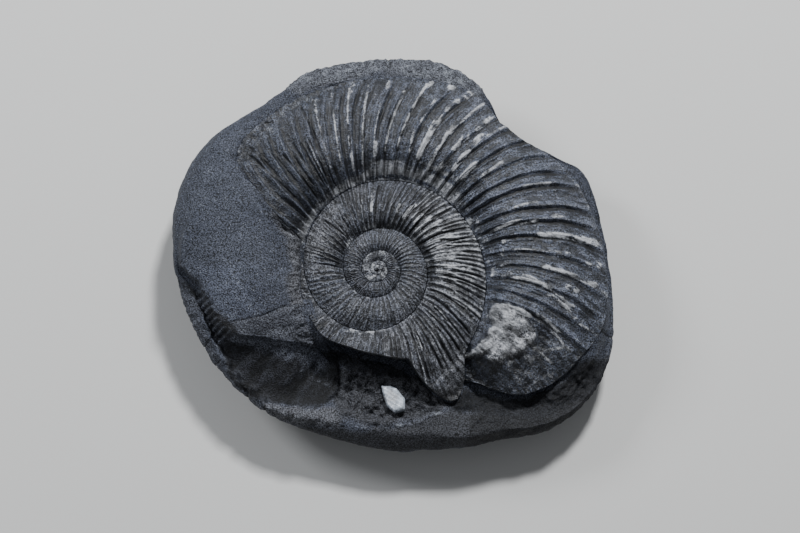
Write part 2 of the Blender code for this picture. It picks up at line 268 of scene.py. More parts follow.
def make_mesh(name: str, places: Array, quads: Array, fans: Array, masks: dict[Mask, Array]) -> bpy.types.Object:
    """Makes an object of a mesh, moved from the coil's middle to the part's frame.

    Args:
        name: The object's name.
        places: Points in millimetres, one to a line.
        quads: Corner numbers of the four-sided faces.
        fans: Corner numbers of the three-sided faces.
        masks: A value for each point, for each surface mark.

    Returns:
        The new object.
    """
    mesh = bpy.data.meshes.new(name)
    moved = (places + (*COIL_MIDDLE, 0.0)) * MM
    mesh.vertices.add(len(moved))
    mesh.vertices.foreach_set("co", moved.astype(np.float32).ravel())
    corners = np.concatenate([quads.ravel(), fans.ravel()]).astype(np.int32)
    mesh.loops.add(len(corners))
    mesh.loops.foreach_set("vertex_index", corners)
    starts = np.concatenate([np.arange(len(quads)) * 4, len(quads) * 4 + np.arange(len(fans)) * 3])
    mesh.polygons.add(len(starts))
    mesh.polygons.foreach_set("loop_start", starts.astype(np.int32))
    mesh.polygons.foreach_set("use_smooth", np.ones(len(starts), bool))
    mesh.update(calc_edges=True)
    for mask, values in masks.items():
        layer = mesh.attributes.new(mask.value, "FLOAT", "POINT")
        layer.data.foreach_set("value", np.clip(values, 0.0, 1.0).astype(np.float32).ravel())
    made = bpy.data.objects.new(name, mesh)
    bpy.context.scene.collection.objects.link(made)
    return made


def grid_quads(rows: int, columns: int, close_rows: bool, close_columns: bool) -> Array:
    """Corner numbers of the faces of a grid, whose points are numbered row by row.

    Args:
        rows: How many rows of points.
        columns: How many points in a row.
        close_rows: Whether the last row joins the first.
        close_columns: Whether each row joins its own start.

    Returns:
        Four corner numbers to a face, in the order that faces up when rows run outwards.
    """
    row = np.arange(rows if close_rows else rows - 1)[:, None]
    column = np.arange(columns if close_columns else columns - 1)[None, :]
    next_row = (row + 1) % rows
    next_column = (column + 1) % columns
    around = (row * columns + column, row * columns + next_column)
    beyond = (next_row * columns + next_column, next_row * columns + column)
    return np.stack([*around, *beyond], axis=2).reshape(-1, 4)


def make_closed(name: str, places: Array, masks: dict[Mask, Array]) -> bpy.types.Object:
    """Makes an object of a grid whose rows close on themselves, and whose first and last close on a point.

    Args:
        name: The object's name.
        places: Rows and columns of points.
        masks: A value for each point, for each surface mark.

    Returns:
        The new object.
    """
    rows, columns = places.shape[:2]
    count, last = rows * columns, (rows - 1) * columns
    here = np.arange(columns)
    there = np.roll(here, -1)
    first_fan = np.stack([np.full(columns, count), there, here], axis=1)
    last_fan = np.stack([np.full(columns, count + 1), last + here, last + there], axis=1)
    points = np.concatenate([places.reshape(-1, 3), places[[0, -1]].mean(axis=1)])
    values = {mask: np.append(grid.ravel(), grid[[0, -1]].mean(axis=1)) for mask, grid in masks.items()}
    quads = grid_quads(rows, columns, False, True)
    return make_mesh(name, points, quads, np.concatenate([first_fan, last_fan]), values)


class NodeSheet:
    """Lays out one material's nodes."""

    def __init__(self, name: str) -> None:
        """Makes the material with its shader."""
        self.material = bpy.data.materials.new(name)
        self.material.use_nodes = True
        self.tree = self.material.node_tree
        self.shader = self.tree.nodes["Principled BSDF"]
        self.places = self.tree.nodes.new("ShaderNodeTexCoord").outputs["Object"]

    def noise(self, size: float, detail: float = 4.0, stretch: Colour = (1.0, 1.0, 1.0)) -> Socket:
        """Noise in space.

        Args:
            size: Size of its lumps in millimetres.
            detail: How many finer layers it has.
            stretch: Scale along each axis.

        Returns:
            The value's socket.
        """
        mapping = self.tree.nodes.new("ShaderNodeMapping")
        mapping.inputs["Scale"].default_value = stretch
        node = self.tree.nodes.new("ShaderNodeTexNoise")
        node.inputs["Scale"].default_value = 1.0 / (size * MM)
        node.inputs["Detail"].default_value = detail
        node.inputs["Roughness"].default_value = 0.6
        self.tree.links.new(self.places, mapping.inputs["Vector"])
        self.tree.links.new(mapping.outputs["Vector"], node.inputs["Vector"])
        return node.outputs["Fac"]

    def mask(self, mask: Mask) -> Socket:
        """The socket of a surface mark."""
        node = self.tree.nodes.new("ShaderNodeAttribute")
        node.attribute_name = mask.value
        return node.outputs["Fac"]

    def spread(self, source: Socket, low: float, high: float, start: float = 0.0, end: float = 1.0) -> Socket:
        """Maps a value smoothly from one range to another.

        Args:
            source: The value.
            low: Where the first range starts.
            high: Where it ends.
            start: Result at `low`.
            end: Result at `high`.

        Returns:
            The result's socket.
        """
        node = self.tree.nodes.new("ShaderNodeMapRange")
        node.interpolation_type = "SMOOTHSTEP"
        node.inputs["From Min"].default_value = low
        node.inputs["From Max"].default_value = high
        node.inputs["To Min"].default_value = start
        node.inputs["To Max"].default_value = end
        self.tree.links.new(source, node.inputs["Value"])
        return node.outputs["Result"]

    def reckon(self, kind: str, first: Socket, second: Socket | float) -> Socket:
        """Joins two values by one math operation.

        Args:
            kind: Blender's name of the operation.
            first: The first value.
            second: The second value, or a number.

        Returns:
            The result's socket.
        """
        node = self.tree.nodes.new("ShaderNodeMath")
        node.operation = kind
        self.tree.links.new(first, node.inputs[0])
        if isinstance(second, float):
            node.inputs[1].default_value = second
        else:
            self.tree.links.new(second, node.inputs[1])
        return node.outputs["Value"]

    def blend(self, share: Socket, first: Socket | Colour, second: Socket | Colour) -> Socket:
        """Blends two colours.

        Args:
            share: How much of the second.
            first: The first colour or its socket.
            second: The second colour or its socket.

        Returns:
            The colour's socket.
        """
        node = self.tree.nodes.new("ShaderNodeMix")
        node.data_type = "RGBA"
        self.tree.links.new(share, node.inputs["Factor"])
        for label, colour in (("A", first), ("B", second)):
            socket = next(s for s in node.inputs if s.name == label and s.type == "RGBA")
            if isinstance(colour, tuple):
                socket.default_value = (*colour, 1.0)
            else:
                self.tree.links.new(colour, socket)
        return next(s for s in node.outputs if s.type == "RGBA")

    def tone(self, colour: Colour) -> Socket:
        """The socket of a plain colour."""
        node = self.tree.nodes.new("ShaderNodeRGB")
        node.outputs["Color"].default_value = (*colour, 1.0)
        return node.outputs["Color"]

    def scaled(self, colour: Socket, by: Socket) -> Socket:
        """Makes a colour lighter or darker by a value."""
        node = self.tree.nodes.new("ShaderNodeVectorMath")
        node.operation = "SCALE"
        self.tree.links.new(colour, node.inputs["Vector"])
        self.tree.links.new(by, node.inputs["Scale"])
        return node.outputs["Vector"]

    def bump(self, heights: Sequence[tuple[Socket, float]]) -> None:
        """Adds bumps to the shader, each a value and its height in millimetres."""
        below = None
        for source, height in heights:
            node = self.tree.nodes.new("ShaderNodeBump")
            node.inputs["Distance"].default_value = height * MM
            self.tree.links.new(source, node.inputs["Height"])
            if below is not None:
                self.tree.links.new(below, node.inputs["Normal"])
            below = node.outputs["Normal"]
        self.tree.links.new(below, self.shader.inputs["Normal"])

    def finish(self, colour: Socket, roughness: Socket, specular: float) -> bpy.types.Material:
        """Joins the colour and roughness to the shader.

        Args:
            colour: The base colour.
            roughness: The roughness.
            specular: Specular level, the same all over.

        Returns:
            The material.
        """
        self.tree.links.new(colour, self.shader.inputs["Base Color"])
        self.tree.links.new(roughness, self.shader.inputs["Roughness"])
        self.shader.inputs["Specular IOR Level"].default_value = specular
        return self.material


@dataclass(frozen=True)
class MineralFinish:
    """A fine-grained mineral: two base tones, pale worn dust and painted light, painted shade in hollows, painted
    glints and rusty warmth.
    """

    name: str  # the material's name
    shade: Colour  # the darker base tone
    light: Colour  # the lighter base tone
    pale: Colour  # colour of worn and dusty places, and of painted light
    warm: Colour  # colour of rusty places
    roughness: float  # roughness of the plain surface
    slick: float  # roughness of smooth facets
    specular: float  # specular level
    grain: float  # size of the grains
    relief: float  # height of the grains
    sparkle: float  # how far the grains differ in tone
    mottling: float  # how far its broader spots differ in tone
    cloud_size: float = 7.0  # size of the clouds of its two base tones
    mottle_size: float = 1.1  # size of its broader spots
    mottle_relief: float = 0.10  # height of those spots
    darkest: float = 0.17  # tone of a wholly dark mark, mostly painted shade, over the plain one
    fibre_tones: Pair = (0.4, 1.6)  # tones of the darkest and the lightest fibre, with its painted shading, over the plain one
    painted_glint_share: float = 0.75  # how far a painted glint takes on the pale colour

    def material(self) -> bpy.types.Material:
        """Makes the material from noise at four sizes and the surface marks.

        Noise lies mostly between 0.3 and 0.7, so its values are spread from there. Dust and painted light show where
        the pale mark and the two finer noises add up to enough. Specks of the glint noise are painted glints, and the
        dark mark lays on painted shade.
        """
        sheet = NodeSheet(self.name)
        clouds = sheet.noise(self.cloud_size, 5.0)
        mottle = sheet.noise(self.mottle_size, 5.0)
        grains = sheet.noise(self.grain, 1.0)
        painted_glints = sheet.noise(self.grain * 1.4, 1.0, (1.0, 1.15, 0.9))
        colour = sheet.blend(sheet.spread(clouds, 0.3, 0.7), self.shade, self.light)
        colour = sheet.blend(sheet.mask(Mask.WARM), colour, self.warm)
        colour = sheet.scaled(colour, sheet.spread(grains, 0.34, 0.66, 1.0 - self.sparkle, 1.0 + self.sparkle))
        dust_and_light = sheet.reckon("ADD", sheet.mask(Mask.PALE), sheet.spread(mottle, 0.25, 0.75, -0.35, 0.35))
        dust_and_light = sheet.reckon("ADD", dust_and_light, sheet.spread(grains, 0.3, 0.7, -0.15, 0.15))
        dust_and_light = sheet.reckon("MULTIPLY", sheet.spread(dust_and_light, 0.1, 0.9), sheet.mask(Mask.PALE))
        worn = sheet.scaled(sheet.tone(self.pale), sheet.spread(grains, 0.3, 0.7, 0.72, 1.28))
        # the pale colour, for dust and wear and for painted light
        colour = sheet.blend(sheet.spread(dust_and_light, 0.0, 0.85), colour, worn)
        # painted glints: specks of the pale colour
        colour = sheet.blend(sheet.spread(painted_glints, 0.66, 0.75, 0.0, self.painted_glint_share), colour, self.pale)
        # painted shade, and the stone's own dark places, from the dark mark
        colour = sheet.scaled(colour, sheet.spread(sheet.mask(Mask.DARK), 0.0, 1.0, 1.0, self.darkest))
        # fine lines, with painted highlight and shade across the ribs
        colour = sheet.scaled(colour, sheet.spread(sheet.mask(Mask.FIBRE_AND_PAINTED_SHADING), 0.0, 1.0, *self.fibre_tones))
        colour = sheet.scaled(colour, sheet.spread(mottle, 0.25, 0.75, 1.0 - self.mottling, 1.0 + self.mottling))
        sheet.bump([(mottle, self.mottle_relief), (grains, self.relief)])
        rough = sheet.spread(sheet.mask(Mask.SLICK), 0.0, 1.0, self.roughness, self.slick)
        return sheet.finish(colour, rough, self.specular)


STONE_FINISH = MineralFinish(
    name="dark_siltstone",
    shade=(0.032, 0.037, 0.052),
    light=(0.049, 0.055, 0.073),
    pale=(0.23, 0.25, 0.285),
    warm=(0.101, 0.099, 0.101),
    roughness=0.72,
    slick=0.42,
    specular=0.3,
    grain=0.19,
    relief=0.12,
    sparkle=0.88,
    mottling=0.1,
)
SHELL_FINISH = MineralFinish(
    name="worn_shell",
    shade=(0.032, 0.038, 0.053),
    light=(0.055, 0.062, 0.084),
    pale=(0.242, 0.25, 0.268),
    warm=(0.12, 0.12, 0.124),
    roughness=0.5,
    slick=0.36,
    specular=0.5,
    grain=0.22,
    relief=0.16,
    sparkle=0.95,
    mottling=0.26,
)
CRYSTAL_FINISH = MineralFinish(
    name="calcite",
    shade=(0.30, 0.33, 0.37),
    light=(0.43, 0.48, 0.55),
    pale=(0.64, 0.68, 0.75),
    warm=(0.40, 0.36, 0.32),
    roughness=0.38,
    slick=0.22,
    specular=0.6,
    grain=0.3,
    relief=0.02,
    sparkle=0.2,
    mottling=0.3,
)


@dataclass(frozen=True)
class Coil:
    """The spiral that every whorl follows, and how high its face stands.

    The seam between whorls is a logarithmic spiral, radius = start x growth^turn.
    """

    seam_start: float = 2.30  # the seam's radius at turn 0
    growth: float = 2.17  # how much wider a turn is than the one before
    first_turn: float = -2.0  # where the shell starts
    last_turn: float = 3.64  # where it ends
    # (across, degrees) of how far forward the mesh's lines lean, across a whorl
    grid_lean: Table = ((0, 0), (0.07, 0.16), (0.22, 0.72), (0.45, 2.2), (0.72, 4.6), (1, 8))
    free_edge: Table = (  # (turn, radius) of the edge where no later whorl covers the shell
        (2.61, 17.4), (2.621, 17.8), (2.632, 19), (2.641, 20.3), (2.65, 21.3), (2.659, 22), (2.667, 21.7),
        (2.675, 20.5), (2.681, 19.3), (2.687, 17.8), (2.693, 15.6), (2.697, 14.2), (2.744, 12.9), (2.8, 12.4),
        (2.858, 12.9), (2.918, 12), (3.002, 11.2), (3.04, 11.6), (3.058, 12), (3.07, 15.6), (3.08, 18.6),
        (3.091, 21.8), (3.102, 26.2), (3.115, 27.3), (3.181, 28), (3.25, 28.6), (3.33, 30.3), (3.345, 29.5),
        (3.36, 28.4), (3.385, 28.9), (3.41, 31.2), (3.43, 32.7), (3.47, 33.5), (3.5, 34.1), (3.53, 34.5), (3.545, 34),
        (3.559, 32.8), (3.572, 31.8), (3.591, 30.4), (3.601, 29.3), (3.61, 28.2), (3.618, 26.5), (3.624, 24.5),
        (3.632, 22), (3.64, 20.2),
    )  # fmt: skip
    seam_heights: Table = (  # (turn, height) of the seam
        (-2, 12.4), (0, 12.1), (1, 12), (2, 11.9), (2.6, 11.8), (3, 12.4), (3.1, 13.3), (3.18, 12.9), (3.28, 11.8),
        (3.45, 9.8), (3.62, 9.4),
    )  # fmt: skip
    shoulder: float = 0.36  # where a whorl stands highest, across it
    rise: float = 0.225  # the shoulder's height over the seams, as a share of the whorl's width
    round_up: float = 1.1  # power of the round from the inner seam up to the shoulder
    fall: float = 2.2  # how round the outer side is
    # (turn, height) of the crumbled stone that fills the outer edge
    edge_fill: Table = ((3.06, 0), (3.075, 1.2), (3.12, 1.2), (3.17, 0.3), (3.22, 0))
    fill_across: Pair = (0.68, 1.0)  # where that stone lies, across the whorl
    crush_turns: Pair = (3.50, 3.60)  # turns between which the crushed end comes to sink
    crush_across: Pair = (0.05, 0.35)  # where it sinks, across the whorl
    crush_height: float = 22.0  # height of the slope that it sinks to, carried on to the coil's middle
    crush_slope: float = 0.4  # how steeply that slope falls outwards
    end_turns: Pair = (3.60, 3.64)  # turns between which the last bit falls to the stone
    end_height: float = 9.2  # height that it falls to
    upright_turns: float = 0.08  # over this much of a turn the last lines lose their lean

    def seam(self, turn: Array) -> Array:
        """The seam's radius."""
        return self.seam_start * self.growth**turn

    def edge(self, turn: Array) -> Array:
        """The outer edge's radius: the seam, or the free edge where no later whorl lies on it."""
        return np.where(turn < self.free_edge[0][0], self.seam(turn), read_table(self.free_edge, turn))

    def across(self, turn: Array, radius: Array) -> Array:
        """How far across its whorl a place is."""
        inner = self.seam(turn - 1.0)
        return (radius - inner) / (self.seam(turn) - inner)

    def bulge(self, across: Array) -> Array:
        """Height over the shoulder's: a steep round up to it, then a long fall."""
        up = np.clip(1.0 - ((self.shoulder - across) / self.shoulder) ** 2, 0.0, 1.0) ** self.round_up
        down = 1.0 - (np.clip(across - self.shoulder, 0.0, 2.0) / (1.0 - self.shoulder)) ** self.fall
        return np.where(across < self.shoulder, up, down)

    def face_height(self, turn: Array, radius: Array) -> Array:
        """Height of the face without its ribs.

        It is a straight line between the heights of the two seams, plus the whorl's bulge. The crushed
        end sinks to its slope where it would stand above it.

        Args:
            turn: Where along the coil.
            radius: Distance from the middle.

        Returns:
            The height.
        """
        across = np.clip(self.across(turn, radius), 0.0, 1.0)
        inner_height = read_table(self.seam_heights, turn - 1.0)
        base = inner_height + (read_table(self.seam_heights, turn) - inner_height) * across
        rise = self.rise * (self.seam(turn) - self.seam(turn - 1.0))
        face = base + rise * self.bulge(across)
        face = face + read_table(self.edge_fill, turn) * between(across, *self.fill_across)
        crushed = between(turn, *self.crush_turns) * between(across, *self.crush_across)
        face = face - crushed * np.maximum(face - self.crush_height + self.crush_slope * radius, 0.0)
        return face + between(turn, *self.end_turns) * (self.end_height - face)

    def border(self, angle: Array) -> Array:
        """Radius of the shell's outline at each angle round the coil."""
        return self.edge(self.border_turn(angle))

    def border_turn(self, angle: Array) -> Array:
        """The turn of the whorl that reaches the shell's outline at each angle."""
        turn = angle / TURN
        return turn + np.where(turn < self.last_turn - LAST_WHORL, LAST_WHORL, LAST_WHORL - 1.0)

    def upright(self, line: Array) -> Array:
        """How far the lines have lost their lean, from 0 to 1, towards the coil's end."""
        return between(line, self.last_turn - self.upright_turns, self.last_turn)


@dataclass(frozen=True)
class RibPattern:
    """Ribs across a whorl, with a fainter riblet between each two."""

    counts: Table  # (turn, number of ribs up to there)
    lean: Table  # (across, degrees) of how far forward of its start a rib is
    height: float  # height of a rib
    crest: Table  # (turn, share) of a crest's half width, over the spacing
    sharpness: float  # power of the fall behind a crest: 2 is a bell, 1 a knife edge
    riblet: Table  # (turn, height) of the riblets, over the ribs' height
    cleft: float  # depth of the cleft in front of a crest, over the ribs' height
    split_at: Table  # (turn, across) of where each rib splits in two; over 1 for never
    unevenness: float  # how far ribs stray, as a share of the spacing
    seed: int  # seed of the draws
    draws: int = 512  # how many ribs differ before the draws repeat
    weakest: float = 0.45  # the faintest rib over the strongest
    branch: float = 0.25  # how far a branch stands from its rib, as a share of the spacing
    branch_run: float = 0.22  # over how much of the whorl's width the branches part
    slopes: Pair = (1.45, 0.8)  # reach of a crest behind it and in front, over its half width
    cleft_at: float = 1.65  # how far in front of a crest its cleft is, over the half width
    cleft_width: Pair = (0.65, 0.095)  # half width of a cleft, over the crest's, and the least that it may be
    riblet_at: Pair = (0.36, 0.12)  # place and half width of a riblet, as shares of the spacing

    def ahead(self, across: Array) -> Array:
        """How many turns forward of its start a rib is, across the whorl."""
        return read_table(self.lean, across) / TURN

    def count(self, line: Array) -> Array:
        """How many ribs there are up to a place along the coil."""
        return read_table(self.counts, line)

    def relief(self, line: Array, across: Array) -> tuple[Array, Array, Array]:
        """Height of the ribs.

        A rib falls from its crest gently behind, as exp(-(d/w)^sharpness), and steeply in front, as a bell
        curve with a cleft at its foot. Distances count in spacings along the coil. Crests stray by a
        random share, and past `split_at` each has two branches a quarter spacing to its sides.

        Args:
            line: The turn at which the place's rib line starts.
            across: How far across the whorl the place is.

        Returns:
            The height in millimetres, and the shares of a crest and of a cleft from 0 to 1.
        """
        draw = np.random.default_rng(self.seed)
        stray = self.unevenness * draw.uniform(-1.0, 1.0, self.draws)
        strength = draw.uniform(self.weakest, 1.0, self.draws)
        count = self.count(line)
        rib = np.floor(count)
        branch = self.branch * between(across - read_table(self.split_at, line), 0.0, self.branch_run)
        narrow = read_table(self.crest, line) * (1.0 - 1.6 * branch)
        cleft_width = np.maximum(self.cleft_width[0] * narrow, self.cleft_width[1])
        shape = np.broadcast(line, across).shape
        crest, faint, cleft = np.zeros(shape), np.zeros(shape), np.zeros(shape)
        for step in (-1, 0, 1):
            number = (rib + step).astype(int) % self.draws
            ahead = count - rib - step - 0.5 - stray[number]
            for side in (-1.0, 1.0):
                off = ahead - side * branch
                behind = np.exp(-((np.abs(np.minimum(off, 0.0)) / (self.slopes[0] * narrow)) ** self.sharpness))
                front = bell(np.maximum(off, 0.0), self.slopes[1] * narrow)
                share = strength[(number + (side > 0.0)) % self.draws]
                crest = np.maximum(crest, share * behind * front)
                cleft = np.maximum(cleft, share * bell(off - self.cleft_at * narrow, cleft_width))
                faint = np.maximum(faint, bell(ahead - side * self.riblet_at[0], self.riblet_at[1]))
        faint = read_table(self.riblet, line) * faint * (1.0 - branch / self.branch)
        return self.height * (np.maximum(crest, faint) - self.cleft * cleft), crest, cleft


@dataclass(frozen=True)
class Stroke:
    """A stroke on the shell, worn and pale or sunk and darkened with painted shade."""

    start: Pair  # (angle, across) of one end
    end: Pair  # (angle, across) of the other
    width: float  # half width in degrees
    strength: float  # from 0 to 1
    end_reach: float = 0.05  # half width at its ends, across the whorl
    border: Pair = (0.55, 1.35)  # half widths from its line at which it starts to fade and is gone

    def mask(self, angle: Array, across: Array) -> Array:
        """Full near the line between the ends, fading past half its width.

        Args:
            angle: Degrees round the coil.
            across: How far across the whorl.

        Returns:
            The stroke's strength at each place.
        """
        (low_angle, low), (high_angle, high) = sorted((self.start, self.end), key=lambda end: end[1])
        share = np.clip((across - low) / max(high - low, 0.01), 0.0, 1.0)
        sideways = (angle - low_angle - share * (high_angle - low_angle)) / self.width
        beyond = np.maximum(low - across, across - high) / self.end_reach
        return self.strength * (1.0 - between(np.hypot(sideways, np.maximum(beyond, 0.0)), *self.border))


def strokes(*rows: tuple[float, ...]) -> tuple[Stroke, ...]:
    """Makes strokes of rows of (start angle, start across, end angle, end across, half width, strength)."""
    return tuple(Stroke(row[:2], row[2:4], *row[4:]) for row in rows)


OUTER_WEAR = strokes(
    (60.5, 0.57, 59.1, 0.28, 0.35, 0.7), (62.1, 0.58, 61.5, 0.35, 0.35, 0.5), (67.5, 0.74, 64.5, 0.24, 0.45, 0.9),
    (68.8, 0.94, 68.1, 0.84, 0.7, 0.8), (75.1, 0.95, 70.5, 0.24, 0.45, 0.9), (80.8, 0.91, 78.2, 0.6, 0.45, 0.9),
    (77.6, 0.46, 76.3, 0.15, 0.75, 1), (82, 0.96, 81.2, 0.92, 0.9, 0.8), (87.1, 0.89, 81.8, 0.14, 0.55, 0.95),
    (93.5, 0.92, 93.4, 0.9, 0.8, 0.9), (91.1, 0.65, 89.1, 0.38, 0.4, 0.6), (89.4, 0.29, 88.9, 0.22, 1.3, 0.9),
    (98.8, 0.84, 94.1, 0.26, 0.5, 0.95), (104.8, 0.93, 100.1, 0.29, 0.5, 1), (109.1, 0.77, 107.3, 0.54, 0.5, 0.8),
    (105.5, 0.41, 106.1, 0.27, 0.7, 0.8), (105.9, 0.99, 105.5, 0.95, 1.2, 0.8), (115.6, 0.82, 114, 0.73, 1, 0.9),
    (113.1, 0.6, 110.8, 0.21, 1.5, 1), (112.3, 1, 111.9, 0.97, 1.5, 0.8), (123.1, 1, 119.6, 0.58, 0.5, 1),
    (119.3, 0.6, 118.6, 0.52, 1.3, 1), (118.2, 0.5, 117.5, 0.12, 0.95, 1), (117.6, 0.97, 117.3, 0.94, 1.3, 0.8),
    (124.5, 0.52, 122.8, 0.19, 1.35, 1), (127.1, 0.82, 126, 0.67, 1, 0.8), (128.5, 0.6, 128.8, 0.24, 1.2, 1),
    (132.4, 0.83, 129.2, 0.58, 0.5, 0.7), (134.4, 0.34, 134.3, 0.22, 1.3, 0.9), (140.7, 0.52, 140.1, 0.35, 0.7, 0.8),
    (154.4, 0.77, 152.4, 0.57, 0.4, 0.7), (158.1, 0.55, 157.4, 0.41, 0.5, 0.7), (164.4, 0.7, 164.2, 0.67, 0.9, 0.8),
    (164.4, 0.47, 164.2, 0.4, 0.6, 0.8), (162.7, 0.33, 163.1, 0.16, 0.85, 0.9), (172.7, 0.91, 169.4, 0.5, 1.1, 1),
    (176.4, 0.7, 174.1, 0.28, 0.45, 0.7), (178.7, 0.89, 178.5, 0.85, 1.1, 0.8), (184.1, 0.84, 181, 0.48, 0.8, 0.9),
    (186.5, 0.69, 186.3, 0.66, 0.9, 0.8), (186.7, 0.46, 185.4, 0.24, 0.7, 0.8), (192.4, 0.65, 190, 0.52, 0.8, 0.9),
    (169.5, 0.17, 175, 0.155, 1.2, 0.7), (179.3, 0.15, 179.8, 0.14, 1.1, 0.6), (183.5, 0.16, 184.5, 0.15, 1.1, 0.6),
    (197.9, 0.33, 197.9, 0.12, 1.2, 1), (184.4, 0.32, 186.9, 0.46, 0.5, 0.9), (187.5, 0.49, 191.1, 0.65, 0.5, 1),
    (188.8, 0.59, 193.9, 0.68, 0.4, 0.8), (195.1, 0.77, 196.6, 0.94, 0.35, 0.9), (207.8, 0.58, 205.9, 0.39, 0.5, 0.8),
    (205.8, 0.53, 202.2, 0.67, 0.5, 0.8), (196.8, 0.44, 198.9, 0.58, 0.6, 0.8), (200.1, 0.58, 202.4, 0.68, 0.5, 0.7),
)  # fmt: skip
MIDDLE_WEAR = strokes(
    (87, 0.74, 83.5, 0.34, 1.6, 0.9), (77.5, 0.67, 73.5, 0.38, 0.8, 0.7), (91.5, 0.46, 94.5, 0.42, 1.2, 0.7),
    (110, 0.45, 109.5, 0.31, 1.2, 0.8), (121, 0.57, 117.5, 0.26, 1.9, 0.9), (131, 0.55, 130, 0.26, 1.3, 0.8),
    (137.5, 0.5, 137.5, 0.14, 1.6, 0.8), (144, 0.58, 143, 0.15, 1.5, 0.9), (150, 0.52, 149, 0.22, 1.3, 0.8),
    (158, 0.6, 156, 0.12, 1.6, 0.9), (163.5, 0.55, 163, 0.14, 1.7, 0.9), (170, 0.62, 169.5, 0.2, 1.5, 0.9),
    (174, 0.52, 174, 0.18, 1.3, 0.8), (180.5, 0.7, 180, 0.18, 1.2, 0.8), (185, 0.5, 184, 0.15, 1.5, 0.8),
    (189, 0.66, 187, 0.44, 0.7, 0.8), (200, 0.6, 199.5, 0.42, 0.9, 0.7), (205, 0.7, 204.5, 0.5, 1, 0.8),
    (217.5, 0.48, 215, 0.28, 0.9, 0.8), (222, 0.36, 221, 0.25, 1.2, 0.8), (241, 0.5, 239, 0.3, 1.1, 0.6),
    (236, 0.75, 234, 0.55, 0.8, 0.5),
)  # fmt: skip
# Sunk slots between the ribs, darkened with painted shade.
OUTER_SLOTS = strokes(
    (34.9, 0.36, 34.9, 0.12, 1, 0.8), (40.5, 0.91, 39.5, 0.3, 0.5, 0.75), (42.6, 0.97, 42.3, 0.72, 0.5, 0.8),
    (46.6, 0.78, 45.9, 0.4, 0.55, 0.75), (49.3, 0.62, 48.9, 0.15, 0.5, 0.85), (52, 0.52, 51.6, 0.26, 0.5, 0.7),
    (54.8, 0.63, 54.2, 0.26, 0.55, 0.8), (57.4, 0.58, 56.9, 0.2, 0.45, 0.85), (58.9, 0.5, 58.4, 0.16, 0.4, 0.85),
    (60.9, 0.56, 60.3, 0.24, 0.4, 0.85), (64.3, 0.92, 62.9, 0.14, 0.45, 0.85), (66.1, 0.32, 65.7, 0.14, 0.5, 0.8),
)  # fmt: skip
# Sunk slots between the ribs, darkened with painted shade.
MIDDLE_SLOTS = strokes(
    (41.5, 0.85, 45, 0.12, 0.8, 0.95), (47.5, 0.5, 47.5, 0.3, 0.6, 0.7), (54.5, 0.5, 54.5, 0.27, 0.6, 0.8),
    (57.5, 0.5, 57.5, 0.3, 0.6, 0.8), (66, 0.6, 66, 0.35, 0.6, 0.7), (90.5, 0.85, 88, 0.3, 0.7, 0.95),
    (101, 0.8, 99, 0.4, 0.5, 0.8), (121, 0.5, 120, 0.2, 0.6, 0.8), (128, 0.95, 126, 0.5, 0.5, 0.8),
    (133, 0.9, 132, 0.1, 0.7, 0.95), (141, 0.9, 140, 0.25, 0.65, 0.95), (155, 0.9, 151, 0.15, 0.7, 0.95),
    (161, 0.95, 161, 0.2, 0.6, 0.95), (184, 0.9, 183, 0.4, 0.7, 0.95), (190.5, 0.95, 187, 0.3, 0.7, 0.95),
    (196, 0.9, 192, 0.3, 0.5, 0.8), (207, 0.85, 202, 0.15, 0.7, 0.95), (214.5, 0.9, 208.5, 0.1, 0.75, 0.95),
    (218, 0.5, 216, 0.3, 0.6, 0.8), (224, 0.9, 221.5, 0.2, 0.7, 0.95), (231, 0.9, 228, 0.1, 0.7, 0.95),
    (236.5, 0.9, 234.5, 0.1, 0.7, 0.95), (241, 0.9, 239, 0.2, 0.5, 0.8), (245, 0.9, 243, 0.3, 0.65, 0.95),
)  # fmt: skip


@dataclass
class FaceGrid:
    """What each point of a whorl's face is measured by."""

    turn: Array  # where along the coil
    radius: Array  # distance from the coil's middle
    over: Array  # how far across the whorl
    width: Array  # the whorl's width
    flat: Array  # the place in plan
    count: Array  # how many ribs there are up to its rib line
    stray: Array  # how far the rib lines wander, in degrees
    relief: Array  # height of the ribs
    crest: Array  # share of a crest
    cleft: Array  # share of a cleft

    @property
    def angle(self) -> Array:
        """Degrees round the coil."""
        return (TURN * self.turn) % TURN

    @property
    def last(self) -> Array:
        """1 on the last whorl and 0 before it."""
        return (self.turn > LAST_WHORL) * 1.0

    def along_ribs(self, per_rib: float, per_width: float, layer: float) -> Array:
        """Places in a space whose X counts ribs and whose Y runs along them, which draws noise out."""
        parts = [self.count * per_rib, self.over * self.width * per_width, 0.0 * self.turn + layer]
        return np.stack(parts, axis=2)


@dataclass
class FaceNoise:
    """Unevenness of a whorl's face, about -1 to 1, and the random values that it is drawn from."""

    grain: Grain
    fibre: Array  # fine lines along the ribs
    along: Array  # slow changes along each rib
    pits: Array  # fine pits
    dents: Array  # broad dents
    ragged: Array  # raggedness of worn places
    broken: Array  # broken lumps, more than 0
    lumps: Array  # crumbs


@dataclass
class FaceCover:
    """How far each kind of surface covers a whorl's face, from 0 to 1, and what that was worked out from."""

    at: FaceGrid
    noise: FaceNoise
    crust: Array  # the pale crust lump
    slick: Array  # the smooth facet
    tip: Array  # the broken tip of the middle whorl
    crushed: Array  # the crushed end, and that tip
    margin: Array  # the worn outer margin of the last whorl
    rubbed: Array  # places where the ribs are rubbed off
    ribbing: Array  # how far the ribs stand
    pale: Array  # worn strokes
    sunk: Array  # sunk slots, darkened with painted shade
    calm: Array  # the first stretch of the last whorl, crumbly and without fine lines


